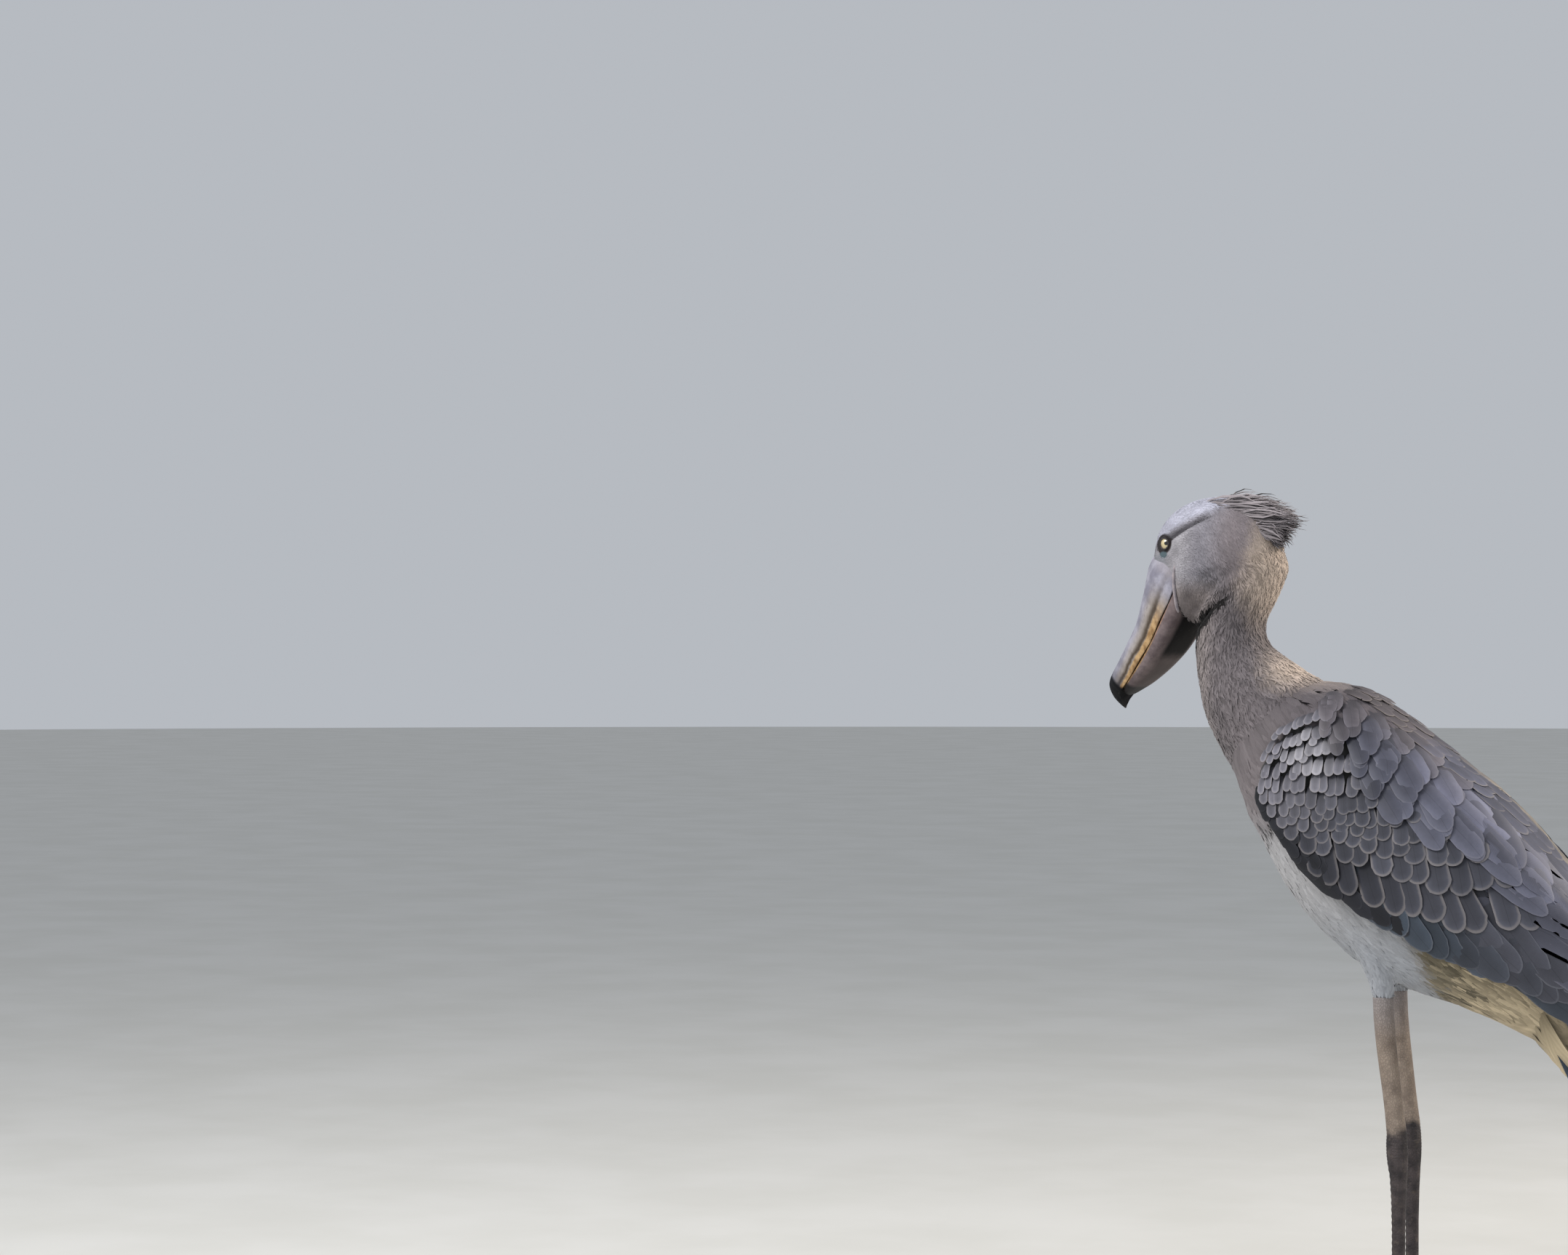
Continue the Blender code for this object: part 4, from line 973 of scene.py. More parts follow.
    def _lids(self, points: Array, eyes: list["Eye"]) -> Array:
        """Wraps the skin round the eyeballs and opens it over them."""
        for eye in eyes:
            off = points - np.array(eye.centre)
            far = np.linalg.norm(off, axis=1)
            way = unit(off)
            turn = np.degrees(np.arccos(np.clip(way @ np.array(eye.gaze), -1, 1)))
            sheet = np.interp(turn, (0, eye.opening - 5, eye.opening + 1, eye.opening + 12, 80, 100),
                              (0.008, 0.0092, eye.radius + 0.0009, eye.radius + 0.0014, eye.radius + 0.001,
                               eye.radius + 0.0006))
            share = step(turn, 88, 60) * step(far, 0.024, 0.016)
            points = points + way * ((sheet - far) * share)[:, None]
        return points

    def _subdivided(self, piece: Piece, chosen: Array) -> None:
        """Halves the faces round chosen points."""
        form = bmesh.new()
        form.from_mesh(piece.data)
        form.verts.ensure_lookup_table()
        keep = set(np.flatnonzero(chosen).tolist())
        edges = [e for e in form.edges if e.verts[0].index in keep and e.verts[1].index in keep]
        bmesh.ops.subdivide_edges(form, edges=edges, cuts=1, use_grid_fill=True, smooth=0.35)
        form.to_mesh(piece.data)
        form.free()

    def _in_face(self, points: Array) -> Array:
        """Points that lie by the eyes, the furrow or the jaw's crease."""
        ahead, left, up = self.stance.head_coordinates(points).T
        furrow = (np.abs(up - brow_line(ahead)) < 0.012) & (ahead > -0.1) & (ahead < 0.0)
        crease = (np.abs(up - jaw_crease(ahead)) < 0.014) & (ahead > -0.14) & (ahead < -0.03)
        eyes = (np.hypot(ahead - 0.005, up) < 0.024)
        return (furrow | crease | eyes) & (np.abs(left) > 0.01)

    def build(self, eyes: list["Eye"]) -> None:
        """Models the skin, which closes round the eyes."""
        flesh = flesh_of(("torso", "neck", "thigh_left", "thigh_right"))
        skin = joined("skin", flesh + [self._skull(), self._rump(), self._jowl()])
        applied(skin, "REMESH", mode="VOXEL", voxel_size=self.voxel)
        applied(skin, "SMOOTH", factor=0.5, iterations=5)
        points, normals = points_of(skin.data), normals_of(skin.data)
        ahead = self.stance.head_coordinates(points)[:, 0]
        in_head = step(ahead, -0.16, -0.12) * step(points[:, 2], 0.91, 0.95)
        in_neck = step(points[:, 2] - 0.4 * points[:, 0], 0.74, 0.8)
        depth = self.body_depth + (self.neck_depth - self.body_depth) * in_neck
        depth = depth + (self.head_depth - depth) * in_head
        thin = step(points[:, 2], 0.51, 0.45) * step(points[:, 2] + points[:, 0], 0.55, 0.5)
        depth = depth + (0.0012 - depth) * thin
        put_points(skin.data, points - normals * depth[:, None])
        self._subdivided(skin, in_head > 0.5)
        self._subdivided(skin, self._in_face(points_of(skin.data)))
        put_points(skin.data, self._sculpt(points_of(skin.data), normals_of(skin.data)))
        put_points(skin.data, self._lids(points_of(skin.data), eyes))
        skin.data.shade_smooth()
        put_colour(skin.data, self.hues.at(points_of(skin.data)))
        self.tree = BVHTree.FromObject(skin, bpy.context.evaluated_depsgraph_get())
        self.piece = skin
        nodes = ("torso", "neck", "head", "thigh_left", "thigh_right")
        placed(skin, CoatFinish("skin", gloom=0.92, on_tufts=False), "body_feathers", *nodes)

    def samples(self, count: int, draw: np.random.Generator, near: Pair) -> tuple[Array, Array]:
        """Places spread over a stretch of the skin by area.

        Args:
            count: How many.
            draw: Seeded random numbers.
            near: Lowest and highest height of the stretch.

        Returns:
            Points and the normals there.
        """
        mesh = self.piece.data
        mesh.calc_loop_triangles()
        corners = read(mesh.loop_triangles, "vertices", 3, np.int32)
        points, normals = points_of(mesh), normals_of(mesh)
        height = points[corners[:, 0], 2]
        corners = corners[(height > near[0]) & (height < near[1])]
        a, b, c = (points[corners[:, k]] for k in range(3))
        area = np.linalg.norm(np.cross(b - a, c - a), axis=1)
        chosen = draw.choice(len(corners), count, p=area / area.sum())
        r, s = np.sqrt(draw.random(count)), draw.random(count)
        share = np.stack([1 - r, r * (1 - s), r * s], 1)
        spots = (points[corners[chosen]] * share[:, :, None]).sum(1)
        ways = unit((normals[corners[chosen]] * share[:, :, None]).sum(1))
        return spots, ways

    def onto(self, points: Array) -> tuple[Array, Array]:
        """The nearest places on the skin, and the ways out there."""
        spots, ways = np.empty_like(points), np.empty_like(points)
        for k, point in enumerate(points.tolist()):
            spot, way, _, _ = self.tree.find_nearest(point)
            spots[k] = spot
            ways[k] = way
        return spots, ways


def spread_out(points: Array, gaps: Array) -> Array:
    """Thins places until each keeps its own gap from the ones before it.

    Args:
        points: Candidates in random order.
        gaps: The gap that each wants.

    Returns:
        Indices of the places that stay.
    """
    tree = kdtree.KDTree(len(points))
    for k, point in enumerate(points.tolist()):
        tree.insert(point, k)
    tree.balance()
    gone = np.zeros(len(points), bool)
    kept = []
    for k, point in enumerate(points.tolist()):
        if gone[k]:
            continue
        kept.append(k)
        for _, other, _ in tree.find_range(point, gaps[k]):
            gone[other] = True
    return np.array(kept)


# ------------ feathers
@dataclass(frozen=True)
class Cut:
    """A feather's outline and section.

    Args:
        rows: Shares of the length with the share of the half width at each.
        ring: Points of the section: share of the half width, share of the thickness.
        soft: How far its shading follows the skin's instead of its own.
        bend: How round it is shaded from rim to rim.
    """

    rows: tuple
    ring: tuple
    soft: float
    bend: float


TUFT_RING = ((-1.0, 0.0), (0.0, 1.0), (1.0, 0.0))
VANE_RING = ((-1.0, 0.0), (-0.62, 0.5), (0.0, 0.8), (0.62, 0.5), (1.0, 0.0), (0.62, -0.5), (-0.62, -0.5))


def rounded_off(start: float, steps: tuple, past: float) -> tuple:
    """Rows of an outline whose tip is a half oval.

    Args:
        start: Share of the half width at the root.
        steps: Rows between root and tip: share of the length, share of the half width.
        past: Share of the length where the oval begins.

    Returns:
        All rows.
    """
    turns = (0.0, 0.28, 0.5, 0.68, 0.81, 0.91, 0.97)
    oval = tuple((past + (1 - past) * t, math.sqrt(1 - t * t)) for t in turns)
    return ((0.0, start), *steps, *oval, (1.0, 0.09))


class Outline(Enum):
    """The outlines in use."""

    DOWN = Cut(((0.0, 0.6), (0.5, 1.0), (1.0, 0.22)), TUFT_RING, 0.8, 0.25)
    LEAF = Cut(((0.0, 0.5), (0.35, 1.0), (0.68, 0.85), (0.88, 0.52), (1.0, 0.1)), TUFT_RING, 0.72, 0.32)
    WISP = Cut(((0.0, 0.6), (0.3, 1.0), (0.6, 0.85), (0.85, 0.5), (1.0, 0.06)), TUFT_RING, 0.45, 0.45)
    SCALE = Cut(rounded_off(0.4, ((0.25, 0.82), (0.5, 0.96)), 0.78), VANE_RING, 0.45, 0.3)
    QUILL = Cut(rounded_off(0.3, ((0.12, 0.7), (0.3, 0.92), (0.5, 1.0)), 0.72), VANE_RING, 0.45, 0.26)


@dataclass
class Batch:
    """Feathers of one outline, each along its own bent path.

    Args:
        outline: The outline.
        root: Where each starts.
        middle: Where each is half way.
        tip: Where each ends.
        root_way: The way out of the skin at the root.
        tip_way: The way out of the skin at the tip.
        half: Half widths.
        thick: Thicknesses.
        cup: How far the rims bend down, as a share of the half width.
        roll: Tilt about the shaft, as a slope.
    """

    outline: Outline
    root: Array
    middle: Array
    tip: Array
    root_way: Array
    tip_way: Array
    half: Array
    thick: Array
    cup: Array
    roll: Array

    def points(self, draw: np.random.Generator, ragged: float) -> tuple[Array, Array]:
        """Every point of every feather, and the way that it is shaded there.

        Args:
            draw: Seeded random numbers.
            ragged: How uneven the rims are, as a share of the half width.

        Returns:
            Points and normals, each as feathers by rows by ring by three.
        """
        cut = self.outline.value
        rows, ring = np.array(cut.rows), np.array(cut.ring)
        t, (x, y) = rows[:, :1], ring.T
        a, b, c = self.root[:, None], self.middle[:, None], self.tip[:, None]
        path = a * (1 - t) * (1 - 2 * t) + b * 4 * t * (1 - t) + c * t * (2 * t - 1)
        ahead = unit(a * (4 * t - 3) + b * (4 - 8 * t) + c * (4 * t - 1))
        skin = unit(self.root_way[:, None] * (1 - t) + self.tip_way[:, None] * t)
        side = unit(np.cross(skin, ahead))
        path, out, skin, side = (v[:, :, None] for v in (path, np.cross(ahead, side), skin, side))
        wide = (self.half[:, None] * rows[:, 1])[..., None]
        cup, roll, thick = (v[:, None, None] for v in (self.cup, self.roll, self.thick))
        jag = 1 + draw.normal(0, ragged, (len(wide), len(rows), len(ring))) * (np.abs(x) > 0.9)
        high = -cup * x**2 * wide + roll * x * wide + (1.0 - 0.55 * t) * thick * y
        points = path + side * (x * wide * jag)[..., None] + out * high[..., None]
        own = unit(out - side * roll[..., None])
        shade = unit(own * (1 - cut.soft) + skin * cut.soft) + side * (x * cut.bend)[:, None]
        return points, unit(shade) * np.where(y < 0, -1.0, 1.0)[:, None]


@dataclass
class Coat:
    """Many feathers as one mesh, with their own map, tone, colour and bake map."""

    name: str
    draw: np.random.Generator
    ragged: float = 0.05
    patch: float = 0.003  # size of a feather's place on the bake map
    parts: dict = field(default_factory=lambda: defaultdict(list))

    def add(self, batch: Batch, places: Array, colours: Array) -> None:
        """Adds feathers.

        Args:
            batch: The feathers.
            places: Where each root lies on an unwrap of the skin, 0 to 1.
            colours: The colour of each.
        """
        if len(batch.root) == 0:
            return
        points, shades = batch.points(self.draw, self.ragged)
        number, rows, around = points.shape[:3]
        k = np.arange(around)
        n = (k + 1) % around
        quads = np.concatenate([
            np.stack([i * around + k, (i + 1) * around + k, (i + 1) * around + n, i * around + n], 1)
            for i in range(rows - 1)])
        corners = np.concatenate([quads.ravel(), k, ((rows - 1) * around + k)[::-1]])
        starts = np.concatenate([np.arange(len(quads)) * 4, len(quads) * 4 + np.array((0, around))])
        cut = batch.outline.value
        u = (np.outer(np.array(cut.rows)[:, 1], np.array(cut.ring)[:, 0]).ravel() + 1) / 2
        v = np.repeat(np.array(cut.rows)[:, 0], around)
        vane = np.stack([u, v], 1)[corners]
        bake = places[:, None] + (vane[None] - 0.5) * self.patch
        which, each = np.arange(number)[:, None], rows * around
        before = {name: sum(map(len, self.parts[name])) for name in ("points", "corners")}
        for name, values in (
                ("points", points.reshape(-1, 3)), ("shades", shades.reshape(-1, 3)),
                ("corners", (corners + before["points"] + which * each).ravel()),
                ("starts", (starts + before["corners"] + which * len(corners)).ravel()),
                ("vane", np.tile(vane, (number, 1))), ("OFBake", bake.reshape(-1, 2)),
                ("tone", np.repeat(self.draw.random(number), each)), ("plumage", np.repeat(colours, each, axis=0))):
            self.parts[name].append(values)

    def build(self) -> Piece:
        """Joins all that was added into a piece."""
        full = {name: np.concatenate(values) for name, values in self.parts.items()}
        mesh = bpy.data.meshes.new(self.name)
        mesh.vertices.add(len(full["points"]))
        write(mesh.vertices, "co", full["points"])
        mesh.loops.add(len(full["corners"]))
        mesh.loops.foreach_set("vertex_index", full["corners"].astype(np.int32))
        mesh.polygons.add(len(full["starts"]))
        mesh.polygons.foreach_set("loop_start", full["starts"].astype(np.int32))
        mesh.update(calc_edges=True)
        for name in ("vane", "OFBake"):
            write(mesh.uv_layers.new(name=name).data, "uv", full[name])
        put_number(mesh, "tone", full["tone"])
        put_colour(mesh, full["plumage"])
        mesh.validate()
        mesh.shade_smooth()
        mesh.normals_split_custom_set_from_vertices(full["shades"].astype(np.float32))
        return new_piece(self.name, mesh)


@dataclass(frozen=True)
class Lay:
    """How one region's feathers are laid.

    Args:
        slot: The record's material slot.
        outline: Their outline.
        count: How many places are tried.
        near: Lowest and highest height of the region.
        lift: Height of the tips over the skin.
        swing: How far they stray from the lie, together and each alone.
        clump: About how far apart the strays' waves are, in metres.
        roots: Painted shade at each feather's root, how much darker it is there.
        mottle: How uneven their brightness is, together and each alone; the shared part follows the clumps that lift
            the tufts, so it is partly mottling and partly painted shade where they lie low.
    """

    slot: str
    outline: Outline
    count: int
    near: Pair
    lift: float
    swing: Pair
    clump: float
    roots: float
    mottle: Pair


@dataclass
class Plumage:
    """The small feathers of head, neck, trunk and thighs, laid over the skin."""

    stance: Stance
    skin: Skin
    hues: Hues
    lie: Lie
    eyes: list["Eye"]
    horn: list[BVHTree]
    draw: np.random.Generator
    lays: dict = field(default_factory=lambda: {
        Region.HEAD: Lay("head_feathers", Outline.DOWN, 110000, (0.86, 1.2), 0.0005, (0.2, 0.14), 0.016, 0.1,
                         (0.09, 0.03)),
        Region.NECK: Lay("neck_feathers", Outline.DOWN, 130000, (0.66, 1.06), 0.0011, (0.55, 0.16), 0.015, 0.12,
                         (0.24, 0.035)),
        Region.BODY: Lay("body_feathers", Outline.LEAF, 130000, (0.35, 1.0), 0.001, (0.14, 0.08), 0.026, 0.06,
                         (0.07, 0.03)),
        Region.THIGH: Lay("body_feathers", Outline.LEAF, 40000, (0.41, 0.6), 0.0008, (0.08, 0.07), 0.03, 0.05,
                          (0.03, 0.03)),
    })

    def _region(self, points: Array, region: Region) -> Array:
        """Which places belong to a part of the plumage."""
        ahead, _, up = self.stance.head_coordinates(points).T
        lean = math.radians(49.0)
        x, z = points[:, 0] - self.stance.feet.x, points[:, 2]
        head = ((x + 0.214) * -math.cos(lean) + (z - 0.985) * math.sin(lean) > 0.0) & (ahead > -0.16)
        head |= (ahead > -0.04) & (z > 0.87) & (up > -0.125)
        neck = ~head & (self.stance.up_neck(points) > -0.03)
        thigh = ~head & ~neck & (z < 0.52) & (z + x < 0.515)
        return {Region.HEAD: head, Region.NECK: neck, Region.THIGH: thigh}.get(region, ~head & ~neck & ~thigh)

    def _hidden(self, points: Array) -> Array:
        """Places that the bill, the eyes, the wings or the legs cover."""
        gone = np.zeros(len(points), bool)
        forward = self.stance.bill_coordinates(points)[:, 0]
        for k in np.flatnonzero((forward > -0.03) & (points[:, 2] > 0.84)):
            for tree in self.horn:
                spot, way, _, _ = tree.find_nearest(points[k].tolist())
                gone[k] |= (Vector(points[k]) - spot).dot(way) < 0.0006
        for one in self.eyes:
            off = points - np.array(one.centre)
            turn = np.degrees(np.arccos(np.clip(unit(off) @ np.array(one.gaze), -1, 1)))
            gone |= (np.linalg.norm(off, axis=1) < 0.0175) & (turn < one.opening + 20)
        along, y, across = self.stance.trunk_coordinates(points).T
        low = np.interp(along, (-0.55, -0.5, -0.41, -0.26, -0.1), (0.52, 0.475, 0.462, 0.48, 0.52))
        gone |= (across > low) & (across < 0.575) & (along > -0.5) & (along < -0.08) & (np.abs(y) > 0.03)
        ahead, left, up = self.stance.head_coordinates(points).T
        bare = ((ahead - 0.001) / 0.017) ** 2 + ((up - 0.001) / 0.014) ** 2 < 1.0
        return gone | (points[:, 2] < 0.428) | (bare & (np.abs(left) > 0.015))

    def _sizes(self, region: Region, points: Array) -> tuple[Array, Array, Array]:
        """Gap, length and half width of the feathers at places of one region."""
        ahead, _, up = self.stance.head_coordinates(points).T
        along, y, across = self.stance.trunk_coordinates(points).T
        if region is Region.HEAD:
            back = step(ahead - 0.4 * up, 0.01, -0.11)
            return 0.0015 + 0.0005 * back, 0.0042 + 0.006 * back, 0.001 + 0.0003 * back
        if region is Region.NECK:
            low = step(points[:, 2], 0.96, 0.8)
            return 0.0018 + 0.0006 * low, 0.011 + 0.005 * low, 0.0011 + 0.0004 * low
        if region is Region.THIGH:
            low = step(points[:, 2], 0.52, 0.44)
            return 0.003 - 0.0012 * low, 0.02 - 0.007 * low, 0.0027 - 0.0011 * low
        back = step(across, 0.55, 0.6)
        vent = step(along, -0.24, -0.16)
        front = self._before_wing(along, y)
        return (0.0037 + 0.002 * back + 0.0008 * vent, 0.024 + 0.008 * back + 0.013 * vent + 0.02 * front,
                0.0035 + 0.0022 * back + 0.0006 * vent + 0.0008 * front)

    def _before_wing(self, along: Array, y: Array) -> Array:
        """How near places lie ahead of a folded wing, whose front edge their feathers cover."""
        return step(along, -0.515, -0.555) * step(along, -0.66, -0.62) * step(np.abs(y), 0.04, 0.07)

    def build(self) -> None:
        """Lays every region and makes its piece."""
        for region, lay in self.lays.items():
            here, out = self.skin.samples(lay.count, self.draw, lay.near)
            chosen = self._region(here, region)
            here, out = here[chosen], out[chosen]
            free = ~self._hidden(here)
            here, out = here[free], out[free]
            kept = spread_out(here, self._sizes(region, here)[0])
            self._lay(region, lay, here[kept], out[kept])

    def _lay(self, region: Region, lay: Lay, here: Array, out: Array) -> None:
        """Makes one region's feathers as one piece."""
        number = len(here)
        _, long, half = self._sizes(region, here)
        way = self.lie.at(here, out)
        rough = 1.0
        if region is Region.HEAD:
            ahead, _, up = self.stance.head_coordinates(here).T
            rough = 0.35 + 1.3 * np.exp(-(((ahead + 0.09) / 0.04) ** 2 + ((up + 0.045) / 0.035) ** 2))
        waves = clumps(here, lay.clump, 21)
        swing = (waves * lay.swing[0] + self.draw.normal(0, lay.swing[1], number)) * rough
        way = unit(way + np.cross(out, way) * swing[:, None])
        long = long * self.draw.uniform(0.8, 1.2, number)
        half = half * self.draw.uniform(0.85, 1.15, number)
        middle, middle_out = self.skin.onto(here + way * (long * 0.5)[:, None])
        straight = middle + unit(middle - here) * (long * 0.5)[:, None]
        tip, tip_out = self.skin.onto(straight)
        if region is Region.THIGH:
            loose = step(straight[:, 2], 0.446, 0.436)[:, None]
            tip, tip_out = tip + (straight - tip) * loose, unit(tip_out + (middle_out - tip_out) * loose)
        crest = clumps(here * (1.0, 1.0, 1.0 + 1.6 * (region is Region.NECK)), lay.clump * 0.8, 33)
        if region in (Region.NECK, Region.HEAD):
            crest = 0.5 * crest + 0.9 - 1.8 * bell(crest, 0.32)
        rise = lay.lift * (1.0 + 0.45 * crest * rough) * self.draw.uniform(0.6, 1.3, number)
        if region is Region.BODY:
            along, y, across = self.stance.trunk_coordinates(here).T
            rise = rise + 0.0035 * step(across, 0.55, 0.6) + 0.0075 * self._before_wing(along, y)
        root = here - out * 0.0008
        middle = middle + middle_out * (rise * 0.95)[:, None]
        tip = tip + tip_out * (rise * 0.75)[:, None]
        batch = Batch(lay.outline, root, middle, tip, out, tip_out, half, half * 0.13, np.full(number, 0.22),
                      self.draw.normal(0, 0.08, number))
        coat = Coat(f"plumage_{region.value}", self.draw, 0.1)
        # Brightness follows the clumps that lift the tufts: partly mottling, partly painted shade in the low creases
        # between clumps.
        shade = 1 + lay.mottle[0] * crest * rough + self.draw.normal(0, lay.mottle[1], number)
        coat.add(batch, self.lie.unwrap(here), self.hues.at(here) * np.clip(shade, 0.5, 1.4)[:, None])
        placed(coat.build(), CoatFinish(coat.name, fringe=0.03, roots=lay.roots), lay.slot)


# ------------ wings
FLIGHT_FINISH = VaneFinish("wing_flight", paint(112, 114, 122), rim=0.055, rim_strength=0.45, halo=0.3, rounded=0.76)
BAND_FINISH = VaneFinish("wing_dark", paint(66, 66, 72), rim_strength=0.35, halo=0.15)
COVERT_FINISH = VaneFinish("wing_coverts", paint(150, 143, 140), rim=0.17, rim_strength=0.46, halo=0.55,
                           roughness=0.68)
SCAPULAR_FINISH = VaneFinish("wing_scapulars", paint(132, 130, 140), rim=0.07, rim_strength=0.3, halo=0.34,
                             rounded=0.75, roughness=0.5)


@dataclass(frozen=True)
class Row:
    """A row of wing feathers.

    Args:
        count: How many.
        tips: Points along and across the trunk that the row of tips runs through.
        length: Length of the first and the last.
        width: Width of the first and the last.
        steeper: Slope past the trunk's, first and last, in degrees.
        lift: Height over the wing's surface.
        outline: Outline.
        step: Change of height from one to the next.
        stray: How far each strays from its place, in metres.
    """

    count: int
    tips: tuple
    length: Pair
    width: Pair
    steeper: Pair
    lift: float
    outline: Outline = Outline.SCALE
    step: float = 0.0
    stray: float = 0.0036


